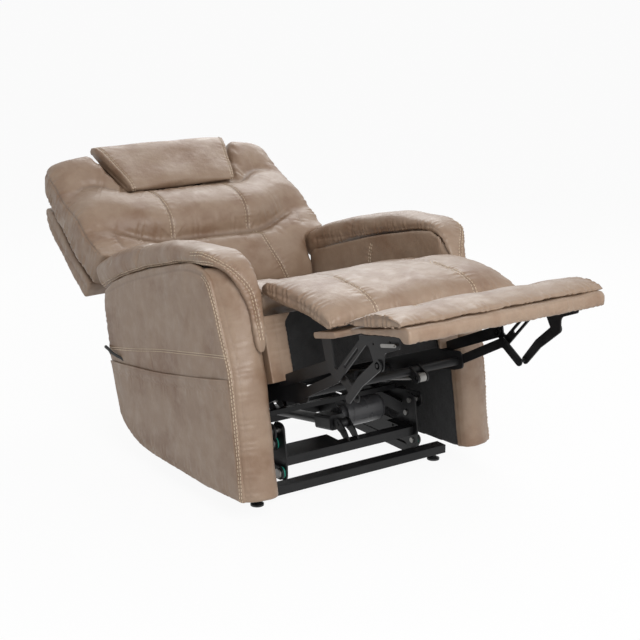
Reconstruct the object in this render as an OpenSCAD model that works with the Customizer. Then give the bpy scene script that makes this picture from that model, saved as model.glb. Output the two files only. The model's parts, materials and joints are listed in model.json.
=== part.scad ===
// Lift recliner chair with a tilting body, power legrest, back and headrest.
// Millimetres, +Z up, the sitter faces -Y, origin on the floor under the middle.

/* [Floor base] */
// Half length of the front rail
base_half_w = 345; // [330:5:350]
// Height of the square rails
rail_h = 25; // [20:1:30]
// Depth of the front rail
front_rail_d = 40; // [30:1:45]
// Height of the rails above the floor
rail_lift = 20; // [18:1:22]
// Depth of the base, front rail centre to the back of the rear rail
base_depth = 540; // [536:1:548]
// Half distance between the side rails
side_rail_x = 263.5; // [263:0.5:265]

/* [Lift linkage] */
// Half distance between the front plates
front_plate_x = 230; // [228:0.5:230]
// Width of a lift arm
lift_arm_w = 38; // [34:1:40]
// Height of the front crossbar
crossbar_h = 27; // [24:1:30]
// Diameter of the green washers
washer_d = 34; // [30:1:36]

/* [Rest pose] */
// Backward tilt of the whole body
tilt_rest = 10; // [10:0.5:10.5]
// Rise of the seat front over its level position
seat_rise = 7; // [7:0.5:7.5]
// Recline of the back from the seat
back_recline = 43; // [42.5:0.5:43]

/* [Arms] */
// Half width over the arm sides
arm_out_x = 437; // [434:1:440]

/* [Seat] */
// Half width of the seat cushion
seat_half_w = 312; // [300:1:312]
// Half width of the front pad
chaise_half_w = 318; // [300:1:318]
// Thickness of the front pad
chaise_t = 46; // [40:1:48]

/* [Legrest] */
// Half width of the footrest board
board_half_w = 303; // [302:1:306]
// Half width of the footrest pad
foot_half_w = 330; // [316:1:332]
// Thickness of the links
link_t = 4; // [3:0.5:4]
// Width of the long links
link_w = 26; // [22:1:28]

/* [Back] */
// Half width of the back over the side wings
back_half_w = 422; // [410:1:424]
// Half width of the back between the arms
lumbar_half_w = 316; // [300:1:318]
// Height of the back over its hinge
back_h = 722; // [715:1:726]

/* [Handset] */
// Height of the handset
handset_h = 150; // [140:1:160]
// Diameter of the lead
lead_d = 9; // [8:0.5:10]

/* [Hidden] */

$fn = 48;
leather = [0.62, 0.54, 0.44];
steel = [0.14, 0.14, 0.14];
cloth = [0.07, 0.07, 0.07];
zinc = [0.72, 0.72, 0.7];
nylon = [0.1, 0.55, 0.45];
motor_grey = [0.2, 0.2, 0.21];

// The front rail's centre line lies this far ahead of the middle of the chair.
front_y = -253;
gap = 0.3;
fit = 0.06;
rail_top = rail_lift + rail_h;

// Pivots on the base and the lift frame, [y, z] with y from the front rail.
lower_rear = [488, 69];
upper_rear = [511, 183];
lower_front = [3, 80];
upper_front = [35, 158];
tilt_pivot = [20, 200];
lift_front_eye = [64, 158];
lift_rear_eye = [500, 85];

// Pivots on the tilting body, [y, z] from the tilt pivot.
seat_pivot = [250, 60];
// Pivots on the seat, in the axes of the level body.
back_pivot = [535, 235];
long_link_pivot = [-198, 70.5];
short_link_pivot = [-117, 110];
short_link_top = [-376.5, 141];
cross_pivot = [-402.5, 111.5];
knee_pivot = [-453, 55.5];
bracket_front = [-599.5, 132.5];
bracket_rear = [-552, 200.5];
headrest_hinge = [-180, 520];
// Ends of the push links, on the body and on the back.
link_low = [420, 10];
link_high = [-36.1, -47.9];

function turn(p, a) = [p[0] * cos(a) - p[1] * sin(a), p[0] * sin(a) + p[1] * cos(a)];
function body_to_base(p) = tilt_pivot + turn(p, -tilt_rest);
function seat_to_body(p) = seat_pivot + turn(p - seat_pivot, -seat_rise);
function back_to_seat(p) = back_pivot + turn(p, -back_recline);

// Layers of the legrest links, from the seat plate outwards.
seat_plate_x = 263;
layer = 6;
function layer_x(n) = seat_plate_x + n * layer;

// ---------- frames ----------
module on_base() {
  translate([0, front_y, 0]) children();
}
module in_body() {
  on_base() translate([0, tilt_pivot[0], tilt_pivot[1]]) rotate([-tilt_rest, 0, 0]) children();
}
module in_seat() {
  in_body() translate([0, seat_pivot[0], seat_pivot[1]]) rotate([-seat_rise, 0, 0])
    translate([0, -seat_pivot[0], -seat_pivot[1]]) children();
}
module in_back() {
  in_seat() translate([0, back_pivot[0], back_pivot[1]]) rotate([-back_recline, 0, 0]) children();
}

// ---------- shared shapes ----------
module pair() {
  children();
  mirror([1, 0, 0]) children();
}
module at(p) {
  translate([0, p[0], p[1]]) children();
}
// A flat outline in Y and Z, thickened along X.
module plate(x0, x1) {
  translate([x0, 0, 0]) rotate([90, 0, 90]) linear_extrude(x1 - x0) children();
}
// A round bar along X.
module bar_x(p, r, x0, x1) {
  translate([x0, p[0], p[1]]) rotate([0, 90, 0]) cylinder(r = r, h = x1 - x0);
}
function angle_of(a, b) = atan2(b[1] - a[1], b[0] - a[0]);
function unit(v) = v / norm(v);
// A flat outline with its corners rounded, from corners [y, z, radius].
function rounded(c) = [for (i = [0 : len(c) - 1])
  let (n = len(c), b = [c[i][0], c[i][1]], a = c[(i + n - 1) % n], d = c[(i + 1) % n], r = c[i][2],
       u = unit([a[0], a[1]] - b), v = unit([d[0], d[1]] - b), half = acos(u * v) / 2,
       mid = b + unit(u + v) * r / sin(half), p = b + u * r / tan(half) - mid, q = b + v * r / tan(half) - mid,
       from = atan2(p[1], p[0]), sweep = (atan2(q[1], q[0]) - from + 540) % 360 - 180)
  for (k = [0 : 5]) mid + r * [cos(from + sweep * k / 5), sin(from + sweep * k / 5)]];
// Corners of a bar that follows a line, on one side of it.
function bar_side(line, i, s, w) =
  let (n = len(line), a = unit(line[max(1, i)] - line[max(0, i - 1)]),
       b = unit(line[min(n - 1, i + 1)] - line[min(n - 2, i)]), na = [-a[1], a[0]], m = unit(na + [-b[1], b[0]]),
       end = i == 0 ? -a : i == n - 1 ? a : [0, 0], p = line[i] + end * w / 2 + s * m * w / 2 / (m * na))
  [p[0], p[1], (i == 0 || i == n - 1) ? w * 0.49 : 9];
// A flat bar along a line, its width going from w0 to w1.
module bar_flat(line, w0, w1 = 0) {
  n = len(line);
  w = [for (i = [0 : n - 1]) w0 + ((w1 == 0 ? w0 : w1) - w0) * i / (n - 1)];
  polygon(rounded(concat([for (i = [0 : n - 1]) bar_side(line, i, 1, w[i])],
    [for (i = [n - 1 : -1 : 0]) bar_side(line, i, -1, w[i])])));
}
module hole(p, d) {
  translate(p) circle(d = d);
}
// A rectangle with round corners.
module soft_square(size, r) {
  x = size[0] - 2 * r;
  y = size[1] - 2 * r;
  translate([r, 0]) square([x, size[1]]);
  translate([0, r]) square([size[0], y]);
  for (u = [0, 1], v = [0, 1]) translate([r + u * x, r + v * y]) circle(r = r);
}
// A square tube along X with a wall.
module tube_x(half_len, y0, z0, d, h, wall) {
  difference() {
    translate([-half_len, y0, z0]) cube([2 * half_len, d, h]);
    translate([-half_len + 6, y0 + wall, z0 + wall]) cube([2 * half_len - 12, d - 2 * wall, h - 2 * wall]);
  }
}
// A bolt along X: head, shank and nut.
module bolt_x(p, d, x0, x1, head_d, head_t) {
  bar_x(p, d / 2, x0, x1);
  bar_x(p, head_d / 2, x1, x1 + head_t);
}

// ---------- smooth bodies ----------
// Point on a closed curve through the key points.
function curve_point(k, i, t) =
  let (n = len(k), a = k[(i + n - 1) % n], b = k[i % n], c = k[(i + 1) % n], d = k[(i + 2) % n])
  0.5 * (2 * b + (c - a) * t + (2 * a - 5 * b + 4 * c - d) * t * t + (3 * b - a - 3 * c + d) * t * t * t);
function closed_curve(k, steps) = [for (i = [0 : len(k) - 1], s = [0 : steps - 1]) curve_point(k, i, s / steps)];
function mean_of(p) = [for (j = [0 : len(p[0]) - 1]) vecsum([for (q = p) q[j]]) / len(p)];
function vecsum(v, i = 0) = i < len(v) ? v[i] + vecsum(v, i + 1) : 0;
function clamp(v, lo, hi) = min(max(v, lo), hi);

// A closed skin over a row of rings that have the same number of points.
module loft(rings) {
  n = len(rings[0]);
  m = len(rings);
  pts = [for (r = rings) each r, mean_of(rings[0]), mean_of(rings[m - 1])];
  sides = [for (i = [0 : m - 2], j = [0 : n - 1]) let (k = (j + 1) % n)
    each [[i * n + j, (i + 1) * n + k, i * n + k], [i * n + j, (i + 1) * n + j, (i + 1) * n + k]]];
  first = [for (j = [0 : n - 1]) [m * n, j, (j + 1) % n]];
  last = [for (j = [0 : n - 1]) [m * n + 1, (m - 1) * n + (j + 1) % n, (m - 1) * n + j]];
  polyhedron(points = pts, faces = concat(sides, first, last), convexity = 6);
}
// How far a rounded end is drawn in, at a share u of its radius.
function draw_in(u, r) = r * (1 - sqrt(max(0, 1 - u * u)));
// Stations across a cushion, close together at the ends.
function stations(half_w, end_r) = let (flat = half_w - end_r) concat(
  [for (u = [1, 0.92, 0.75, 0.45]) -flat - end_r * u],
  [for (i = [-3 : 3]) flat * i / 3],
  [for (u = [0.45, 0.75, 0.92, 1]) flat + end_r * u]);
// One ring of a cushion: the outline, drawn in at its ends, crowned and grooved on its face.
function cushion_ring(outline, x, half_w, end_r, face, crown, grooves, groove_d, flare) =
  let (c = mean_of(outline), low = min([for (p = outline) p[1]]),
       reach = max([for (p = outline) (p - c) * face]),
       size_y = max([for (p = outline) p[0]]) - min([for (p = outline) p[0]]),
       size_z = max([for (p = outline) p[1]]) - low,
       u = max(0, (abs(x) - half_w + end_r) / end_r),
       in = draw_in(min(u, 0.999), end_r),
       sy = 1 - in / max(end_r * 1.03, size_y / 2),
       sz = 1 - in / max(end_r * 1.03, size_z / 2),
       bulge = crown * (1 - pow(x / half_w, 2)),
       dip = groove_d * vecsum([for (g = grooves) exp(-pow((x - g) / 14, 2))]))
  [for (p = outline) let (v = clamp((p - c) * face / reach, 0, 1), q = [c[0] + (p[0] - c[0]) * sy, c[1] + (p[1] - c[1]) * sz])
    [x * (1 + flare * (q[1] - low) / half_w), q[0] + face[0] * (bulge - dip) * v, q[1] + face[1] * (bulge - dip) * v]];
// A cushion whose key outline in Y and Z, anticlockwise, runs across the chair.
module cushion(keys, steps, half_w, end_r, face, crown, grooves = [], groove_d = 0, flare = 0) {
  outline = closed_curve(keys, steps);
  loft([for (x = stations(half_w, end_r))
    cushion_ring(outline, x, half_w, end_r, face, crown, grooves, groove_d, flare)]);
}

// ---------- floor base ----------
module base_front_rail() {
  color(steel) on_base()
    tube_x(base_half_w, -12, rail_lift, front_rail_d, rail_h, 2);
}
module base_side_rails() {
  y0 = front_rail_d - 12 + gap;
  y1 = base_depth - rail_h - gap;
  color(steel) on_base() pair() difference() {
    translate([side_rail_x - rail_h / 2, y0, rail_lift]) cube([rail_h, y1 - y0, rail_h]);
    translate([side_rail_x - rail_h / 2 + 2, y0 - 1, rail_lift + 2]) cube([rail_h - 4, y1 - y0 + 2, rail_h - 4]);
  }
}
module base_rear_rail() {
  y0 = base_depth - rail_h;
  color(steel) on_base() {
    tube_x(side_rail_x + rail_h / 2, y0, rail_lift, rail_h, 50, 2);
    ears(lift_x) difference() {
      polygon(rounded([[y0 - gap, 45, 1], [y0 - gap, 99, 12], [484, 99, 13], [484, 78, 6], [500, 45, 4]]));
      hole(lift_rear_eye, 12);
    }
  }
}
module levelling_feet() {
  spots = [[base_half_w - 31, 8], [side_rail_x, base_depth - rail_h / 2]];
  color(steel) on_base() pair() for (p = spots) translate([p[0], p[1], 0]) {
    cylinder(d = 38, h = 5);
    translate([0, 0, 5]) cylinder(d1 = 38, d2 = 16, h = 5);
    cylinder(d = 10, h = rail_lift - 0.1);
    translate([0, 0, 12]) cylinder(d = 17, h = 5, $fn = 6);
  }
}
module base_brackets() {
  color(steel) on_base() pair() plate(246, 250.7) difference() {
    polygon(rounded([[450, 24, 4], [base_depth - rail_h - gap, 24, 4], [base_depth - rail_h - gap, 70 + gap, 1],
      [538, 70 + gap, 4], [536, 206, 21], [487, 206, 21], [462, 95, 20], [450, 70, 10]]));
    hole(lower_rear, 16);
    hole(upper_rear, 16);
  }
}

// ---------- lift linkage ----------
arm_x0 = 238;
arm_x1 = 244;
module lift_arm(front, rear, end_clear) {
  pair() {
    plate(arm_x0, arm_x1) difference() {
      bar_flat([front, rear], lift_arm_w);
      hole(front, end_clear);
    }
    bar_x(rear, 8 - fit, arm_x1 - 1, 252);
  }
}
module lower_lift_arms() {
  color(steel) on_base() lift_arm(lower_front, lower_rear, 16);
}
// The front holes are wide: the linkage is opened here.
module upper_lift_arms() {
  color(steel) on_base() lift_arm(upper_front, upper_rear, 26);
}
module front_plates() {
  color(steel) on_base() pair() plate(front_plate_x - 2, front_plate_x + 3) difference() {
    polygon(rounded([[-19, 58, 18], [25, 58, 14], [90, 97.5, 4], [90, 123.5, 4], [60, 150, 10], [56, 180, 12],
      [42, 222, 19], [-3, 222, 19], [-8, 180, 14], [-18, 120, 14]]));
    hole(lower_front, 16);
    hole(upper_front, 16);
    hole(tilt_pivot, 16);
  }
}
crossbar_z = 97;
// Two ears either side of an actuator's eye.
module ears(x, inside = 27, t = 5) {
  for (s = [-1, 1]) translate([x + s * (inside + t) / 2, 0, 0]) plate(-t / 2, t / 2) children();
}
// The pin through both ears and the eye between them.
module clevis_pin(x, p, r = 6 - fit) {
  bar_x(p, r, x - 20, x + 20);
}
module front_crossbar() {
  half_w = front_plate_x - 2 - gap;
  t = 3;
  color(steel) on_base() {
    difference() {
      translate([-half_w, -1, crossbar_z]) cube([2 * half_w, 91, crossbar_h]);
      translate([-half_w - 1, -1 + t, crossbar_z - 1]) cube([2 * half_w + 2, 92, crossbar_h - t + 1]);
      translate([lift_x - 38, 32, crossbar_z - 1]) cube([219, 100, crossbar_h + 2]);
    }
    ears(lift_x) polygon(rounded([[4, 122, 1], [31.5, 122, 1], [50, 136, 8], [80, 147, 9], [78, 172, 12],
      [54, 174, 12], [22, 148, 10]]));
    clevis_pin(lift_x, lift_front_eye);
  }
}
// Rails behind the front plates, joined by a tube at the rear.
module frame_rails() {
  x0 = front_plate_x - 8;
  color(steel) on_base() {
    pair() translate([x0 - 1, 92, crossbar_z + 2]) cube([6, 330, 25]);
    difference() {
      translate([-x0 - 5, 422, crossbar_z + 2]) cube([2 * x0 + 10, 25, 25]);
      translate([-x0, 424, crossbar_z + 4]) cube([2 * x0, 21, 21]);
      translate([lift_x - 42, 400, crossbar_z]) cube([84, 60, 30]);
    }
    ears(tilt_x) polygon(rounded([[430, 101, 4], [430, 122, 4], [400, 127, 13], [385, 112, 13], [400, 98, 13]]));
    clevis_pin(tilt_x, tilt_low);
  }
}
module pivot_bolts() {
  color(zinc) on_base() pair() {
    bolt_x(lower_front, 16 - 2 * fit, front_plate_x - 6, 245, 28, 5);
    bolt_x(upper_front, 16 - 2 * fit, front_plate_x - 6, 245, 32, 5);
    bolt_x(tilt_pivot, 16 - 2 * fit, front_plate_x - 6, 259.6, 26, 4);
  }
}
module nylon_washers() {
  color(nylon) on_base() pair() for (p = [lower_front, upper_front]) difference() {
    bar_x(p, washer_d / 2, front_plate_x + 3 + gap, arm_x0 - gap);
    bar_x(p, 8.2, front_plate_x, arm_x0);
  }
}

// ---------- linear actuators ----------
// Each is drawn along +Y from its fixed eye at the origin.
module actuator_casing(body_len, tube_len, tube_r) {
  start = 26;
  difference() {
    union() {
      rotate([0, 90, 0]) translate([0, 0, -12]) cylinder(r = 14, h = 24);
      translate([-12, 0, -11]) cube([24, start + 4, 22]);
      translate([-27, start, -22]) rotate([-90, 0, 0]) translate([0, -44, 0])
        linear_extrude(body_len) soft_square([54, 44], 9);
      rotate([-90, 0, 0]) translate([0, 0, start + 4]) cylinder(r = tube_r, h = tube_len + body_len - start);
      rotate([-90, 0, 0]) translate([0, 0, body_len + start - 2]) cylinder(r = tube_r + 4, h = 16);
    }
    rotate([0, 90, 0]) translate([0, 0, -13]) cylinder(r = 6, h = 26);
    rotate([-90, 0, 0]) translate([0, 0, body_len]) cylinder(r = tube_r - 2.5, h = tube_len + 10);
  }
}
module actuator_rod(start, total, r) {
  difference() {
    union() {
      rotate([-90, 0, 0]) translate([0, 0, start]) cylinder(r = r, h = total - start - 10);
      translate([0, total, 0]) rotate([0, 90, 0]) translate([0, 0, -11]) cylinder(r = 13, h = 22);
    }
    translate([0, total, 0]) rotate([0, 90, 0]) translate([0, 0, -12]) cylinder(r = 6, h = 24);
  }
}
module motor_can(r, len_m) {
  rotate([0, 90, 0]) {
    cylinder(r = r * 0.72, h = 14);
    translate([0, 0, 14]) cylinder(r = r, h = len_m - 26);
    translate([0, 0, len_m - 12]) cylinder(r1 = r, r2 = r * 0.86, h = 12);
    translate([0, 0, 34]) cylinder(r = r + 0.8, h = 3);
  }
}
// Places an actuator between two eyes.
module between(a, b) {
  translate([0, a[0], a[1]]) rotate([angle_of(a, b), 0, 0]) children();
}
function span(a, b) = norm(b - a);

lift_x = 16;
lift_span = span(lift_front_eye, lift_rear_eye);
module lift_actuator_casing() {
  color(cloth) on_base() translate([lift_x, 0, 0]) between(lift_front_eye, lift_rear_eye)
    actuator_casing(78, 270, 15);
}
module lift_motor() {
  color(motor_grey) on_base() translate([lift_x, 0, 0]) between(lift_front_eye, lift_rear_eye)
    translate([27 + gap, 62, 12]) motor_can(41, 150);
}
module lift_rod() {
  color(zinc) on_base() translate([lift_x, 0, 0]) between(lift_front_eye, lift_rear_eye)
    actuator_rod(150, lift_span, 9);
}

tilt_x = -150;
tilt_low = [400, 112];
tilt_high = [150, 60];
tilt_high_world = body_to_base(tilt_high);
module tilt_actuator_casing() {
  color(cloth) on_base() translate([tilt_x, 0, 0]) between(tilt_low, tilt_high_world)
    actuator_casing(78, 60, 14);
}
module tilt_rod() {
  color(zinc) on_base() translate([tilt_x, 0, 0]) between(tilt_low, tilt_high_world)
    actuator_rod(112, span(tilt_low, tilt_high_world), 8);
}

// ---------- tilting body: rails ----------
module body_rails() {
  color(steel) in_body() {
    pair() plate(254, 259.5) difference() {
      polygon(rounded([[-23, -23, 20], [-23, 23, 20], [90, 24, 6], [96, 38, 5], [125, 38, 5], [131, 24, 6],
        [190, 25, 6], [222, 78, 18], [320, 78, 14], [338, 28, 8], [456, 34, 4], [456, -14, 4], [300, -25, 6]]));
      circle(r = 8);
    }
    pair() bar_x(seat_pivot, 8 - fit, 256, 268.5);
    pair() bar_x(link_low, 7 - fit, 256, 281);
    tube_x(256.5, 98, 22, 25, 14, 2);
    tube_x(256.5, 287.5, 50, 25, 25, 2);
    pair() translate([256.5, 137, -12.5]) cube([65, 26, 25]);
    pair() translate([283, 430, 0]) cube([38.5, 25, 30]);
    pair() translate([256.5, 434, -12]) cube([40, 18, 14]);
    ears(tilt_x) polygon(rounded([[108, 22, 1], [108, 33, 1], [144, 73, 10], [164, 64, 12], [160, 46, 12],
      [122, 22, 4]]));
    clevis_pin(tilt_x, tilt_high, 4);
  }
}
module control_box() {
  color(cloth) in_body() translate([-215, 456, -8]) {
    rotate([90, 0, 90]) linear_extrude(150) soft_square([46, 74], 6);
    translate([40, 46, 37]) rotate([-90, 0, 0]) cylinder(d = 14, h = 9);
    translate([90, 46, 22]) cube([34, 3, 24]);
  }
}

// ---------- arms ----------
// Underside of the pad, rear edge and bottom of the arm side, level body axes.
arm_back = [[598, 401], [606, 342], [600, 250], [600, 195], [588, 98], [576, 40], [553, -1], [496, -44]];
arm_low = [[406, -74], [262, -100], [127, -123], [-3, -139]];
pad_line = [[40, 482], [156, 474], [272, 464], [430, 442], [535, 418]];
module arm_outline(front) {
  polygon(concat(front, pad_line, arm_back, arm_low));
}
module arm_outer() {
  plate(421, arm_out_x) arm_outline([[-108, -150], [-119, 177], [-108, 242], [-92, 305], [-78, 365],
    [-66, 410], [-52, 446], [-34, 462], [0, 474]]);
}
module left_arm_panel() {
  color(leather) in_body() arm_outer();
}
module right_arm_panel() {
  color(leather) in_body() mirror([1, 0, 0]) difference() {
    arm_outer();
    plate(415, 440) translate([462, 22]) square([84, 186]);
  }
}
module arm_linings() {
  color(leather) in_body() pair() plate(322, 334) arm_outline([[-92, -148], [-92, 458], [-50, 478]]);
}
// Front face of an arm: height, inner face and outer face.
arm_face = [[-149, -131, -111], [-40, -130, -118], [90, -131, -121], [177, -130, -122], [242, -128, -111],
  [300, -127, -96], [360, -127, -81], [405, -126, -69], [430, -120, -60], [448, -106, -50], [458, -94, -44]];
module arm_front() {
  x0 = 335;
  x1 = 420.7;
  loft([for (r = arm_face) let (z = r[0], a = r[1], b = r[2], m = a + (b - a) * 0.3)
    [[x0, a, z], [x0 + 30, a + (b - a) * 0.08 - 1, z], [x0 + 55, m - 2, z], [x1 - 12, b - 5, z], [x1, b + 1, z],
     [x1, -36, z], [x0, -36, z]]]);
}
module arm_front_side() {
  arm_front();
  plate(322, 334.7) polygon([[-131, -149], [-129, -21], [-131, 99], [-131, 192], [-127, 262], [-127, 405],
    [-119, 430], [-104, 450], [-93, 458], [-93, -149]]);
}
module right_arm_front() {
  color(leather) in_body() mirror([1, 0, 0]) arm_front_side();
}
module left_arm_front() {
  color(leather) in_body() arm_front_side();
}
// Arm pad stations from the rear to the foot of the nose:
// y, z, height over the line, depth under it inside and outside, inner and outer x.
pad_stations = [
  [646, 452, 14, 16, 16, 345, 414], [640, 453, 28, 34, 34, 328, 430], [624, 456, 37, 48, 48, 321, 437],
  [535, 473, 43, 50, 50, 319, 440], [430, 487, 44, 41, 41, 319, 440], [300, 500, 45, 34, 34, 319, 440],
  [156, 508, 41, 29, 29, 319, 440], [50, 510, 33, 23, 25, 319, 440], [-30, 508, 29, 18, 34, 319, 440],
  [-80, 500, 33, 15, 30, 319, 440], [-112, 482, 38, 13, 24, 319, 436], [-132, 450, 32, 11, 20, 320, 412],
  [-140, 415, 28, 11, 16, 321, 388], [-143, 370, 30, 12, 14, 322, 376], [-146, 330, 42, 13, 14, 324, 371],
  [-147, 300, 44, 12, 13, 328, 367], [-148, 276, 36, 9, 10, 334, 361], [-148, 266, 18, 4, 5, 340, 355]];
function pad_dir(i) = let (n = len(pad_stations), a = pad_stations[max(0, i - 1)], b = pad_stations[min(n - 1, i + 1)],
  d = [b[0] - a[0], b[1] - a[1]]) d / norm(d);
function squash(c) = sign(c) * pow(abs(c), 0.5);
function pad_ring(i) =
  let (s = pad_stations[i], d = pad_dir(i), up = [d[1], -d[0]], mid = (s[5] + s[6]) / 2, half = (s[6] - s[5]) / 2)
  [for (a = [0 : 22.5 : 337.5]) let (p = squash(cos(a)), q = squash(sin(a)),
    low = s[3] + (s[4] - s[3]) * (p + 1) / 2, h = q > 0 ? q * s[2] : q * low)
    [mid + p * half, s[0] + up[0] * h, s[1] + up[1] * h]];
module arm_pad() {
  loft([for (i = [0 : len(pad_stations) - 1]) pad_ring(i)]);
}
module right_arm_pad() {
  color(leather) in_body() mirror([1, 0, 0]) arm_pad();
}
module left_arm_pad() {
  color(leather) in_body() arm_pad();
}
// The pocket hangs on the outside of the right arm and is open along its top.
module side_pocket() {
  lip = [[596, 191], [440, 183], [282, 177], [90, 180], [-104, 186]];
  color(leather) in_body() mirror([1, 0, 0]) plate(arm_out_x + gap, arm_out_x + 3.3)
    polygon(concat(lip, [[-106, 20], [-100, -146]], [for (i = [3 : -1 : 0]) arm_low[i]],
      [[492, -40], [549, 2], [572, 42], [584, 98]]));
}

// ---------- handset ----------
handset_at = [500, 100];
module handset() {
  color(cloth) in_body() translate([-420, handset_at[0], handset_at[1]]) difference() {
    rotate([0, -90, 0]) translate([-handset_h / 2, -27, 0]) linear_extrude(14) soft_square([handset_h, 54], 12);
    for (z = rocker_z) translate([-16, -15, z - 17]) cube([8, 30, 34]);
  }
}
rocker_z = [46, 0, -46];
module rocker(z) {
  color(steel) in_body() translate([-433.5, handset_at[0], handset_at[1] + z]) rotate([90, 0, 0])
    translate([0, 0, -14]) linear_extrude(28) polygon([[0, -15], [-1.6, 0], [0, 15], [2.2, 15.5], [4.5, 3],
      [4.5, -3], [2.2, -15.5]]);
}
module lift_rocker() {
  rocker(rocker_z[0]);
}
module back_rocker() {
  rocker(rocker_z[1]);
}
module legrest_rocker() {
  rocker(rocker_z[2]);
}
// The lead runs from the control box behind the right arm into the pocket.
lead_route = [[-175, 512, 29], [-175, 535, 29], [-200, 562, 30], [-260, 590, 40], [-330, 612, 60], [-380, 622, 92],
  [-404, 626, 140], [-412, 626, 185], [-424, 622, 215], [-438, 613, 230], [-447, 597, 232], [-448, 576, 226],
  [-447, 555, 216], [-443, 534, 208], [-434, 513, 197], [-427, 500, 178]];
function spline_at(k, i, t) =
  let (n = len(k), a = k[max(0, i - 1)], b = k[i], c = k[min(n - 1, i + 1)], d = k[min(n - 1, i + 2)])
  0.5 * (2 * b + (c - a) * t + (2 * a - 5 * b + 4 * c - d) * t * t + (3 * b - a - 3 * c + d) * t * t * t);
function route(k, steps) = concat([for (i = [0 : len(k) - 2], s = [0 : steps - 1]) spline_at(k, i, s / steps)],
  [k[len(k) - 1]]);
function cord_ring(path, i, r) =
  let (n = len(path), d = unit(path[min(n - 1, i + 1)] - path[max(0, i - 1)]),
       side = unit(cross(d, abs(d[2]) < 0.8 ? [0, 0, 1] : [1, 0, 0])), up = cross(side, d))
  [for (a = [0 : 45 : 315]) path[i] + r * (side * cos(a) - up * sin(a))];
module handset_lead() {
  path = route(lead_route, 4);
  color(cloth) in_body() loft([for (i = [0 : len(path) - 1]) cord_ring(path, i, lead_d / 2)]);
}

// ---------- seat ----------
module seat_plates() {
  color(steel) in_seat() {
    pair() plate(seat_plate_x, seat_plate_x + link_t) difference() {
      polygon(rounded([[-222, 48, 14], [-180, 46, 10], [-60, 60, 20], [80, 30, 20], [300, 26, 20], [380, 70, 20],
        [500, 190, 20], [566, 205, 16], [566, 262, 16], [505, 262, 16], [440, 196, 16], [-98, 196, 8],
        [-106, 150, 10], [-128, 126, 8], [-138, 108, 8], [-226, 98, 16]]));
      hole(long_link_pivot, 24);
      hole(seat_pivot, 16);
      hole(back_pivot, 16);
      for (y = [-60 : 90 : 390]) hole([y, 184], 7);
    }
    pair() bar_x(short_link_pivot, 8 - fit, 265, 281);
    tube_x(262.7, -95, 170, 25, 25, 2);
    tube_x(262.7, 190, 72, 25, 25, 2);
    ears(legrest_x) polygon(rounded([[192, 74, 1], [192, 94, 1], [160, 82, 10], [150, 76, 8], [150, 52, 12],
      [178, 52, 8]]));
    ears(back_act_x) polygon(rounded([[213, 74, 1], [213, 96, 1], [214, 120, 8], [240, 120, 11], [241, 94, 10]]));
    clevis_pin(legrest_x, legrest_rear_eye);
    clevis_pin(back_act_x, back_front_eye);
  }
}
link_top = seat_to_body(back_to_seat(link_high));
// Push links from the body rails to the back brackets, pivoting on the rails.
module seat_lift_links() {
  color(steel) in_body() pair() plate(275, 279) difference() {
    bar_flat([link_low, link_top], 24, 28);
    hole(link_low, 14);
    hole(link_top, 18);
  }
}
seat_box_back = 440;
module seat_box() {
  color([0.55, 0.42, 0.28]) in_seat() {
    difference() {
      translate([-312, -125, 200]) cube([624, seat_box_back + 125, 89]);
      translate([-294, -107, 199]) cube([588, seat_box_back + 89, 91]);
    }
    for (x = [-220 : 110 : 220]) translate([x - 3, -110, 270]) cube([6, seat_box_back + 95, 6]);
  }
}
// Upholstered ends of the seat front, each with a slot for the short link.
module front_end_panels() {
  slot = [[273.5, 112], [273.5, 131], [280.5, 131], [280.5, 112]];
  color(leather) in_seat() pair() translate([0, -140, 0]) rotate([90, 0, 0]) linear_extrude(10)
    polygon(concat([[254, 112]], slot, [[318, 112], [318, 290], [226, 290]]));
}
module front_fabric() {
  color(cloth) in_seat() translate([-250, -138, 115]) cube([500, 3, 175]);
}
module seat_cushion() {
  keys = [[300, 293], [60, 293], [-100, 294], [-137, 316], [-140, 350], [-118, 376], [20, 383], [220, 382],
    [400, 376], [474, 358], [504, 332], [500, 296]];
  color(leather) in_seat() cushion([for (i = [11 : -1 : 0]) keys[i]], 2, seat_half_w, 20, [0, 1], 6);
}
module chaise_pad() {
  t = chaise_t - 46;
  keys = [[-149, 344], [-152, 372], [-186, 382], [-245, 367], [-303, 343], [-380, 306], [-436, 272], [-458, 248],
    [-446, 230 - t], [-400, 246 - t], [-330, 274 - t], [-262, 298 - t], [-190, 325 - t]];
  color(leather) in_seat() cushion(keys, 2, chaise_half_w, 30, [0, 1], 8, [-180, 180], 5);
}

// ---------- legrest ----------
module link_plate(n, line, w0, w1, bores, wide) {
  plate(layer_x(n), layer_x(n) + link_t) difference() {
    bar_flat(line, w0, w1);
    for (p = bores) hole(p, 10.16);
    for (p = wide) hole(p, 19);
  }
}
drive_lever = 32;
drive_angle = 221;
legrest_x = 110;
legrest_rear_eye = [165, 66];
legrest_front_eye = long_link_pivot + drive_lever * [cos(drive_angle), sin(drive_angle)];
module long_links() {
  color(steel) in_seat() {
    pair() link_plate(1, [long_link_pivot, cross_pivot, knee_pivot], link_w, link_w, [cross_pivot, knee_pivot], []);
    bar_x(long_link_pivot, 12 - fit, -layer_x(1) - 1, layer_x(1) + 1);
    for (s = [-1, 1]) translate([legrest_x + s * 16, 0, 0]) plate(-2.5, 2.5) difference() {
      bar_flat([long_link_pivot, legrest_front_eye], 30, 28);
      hole(legrest_front_eye, 12);
    }
  }
}
module short_links() {
  color(steel) in_seat() pair() difference() {
    union() {
      link_plate(2, [short_link_pivot, short_link_top], 26, 30, [], []);
      plate(layer_x(2) + 1, layer_x(2) + 3) bar_flat([short_link_pivot, short_link_top], 29, 33);
    }
    bar_x(short_link_pivot, 8, 270, 290);
    bar_x(short_link_top, 9.5, 270, 290);
  }
}
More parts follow.
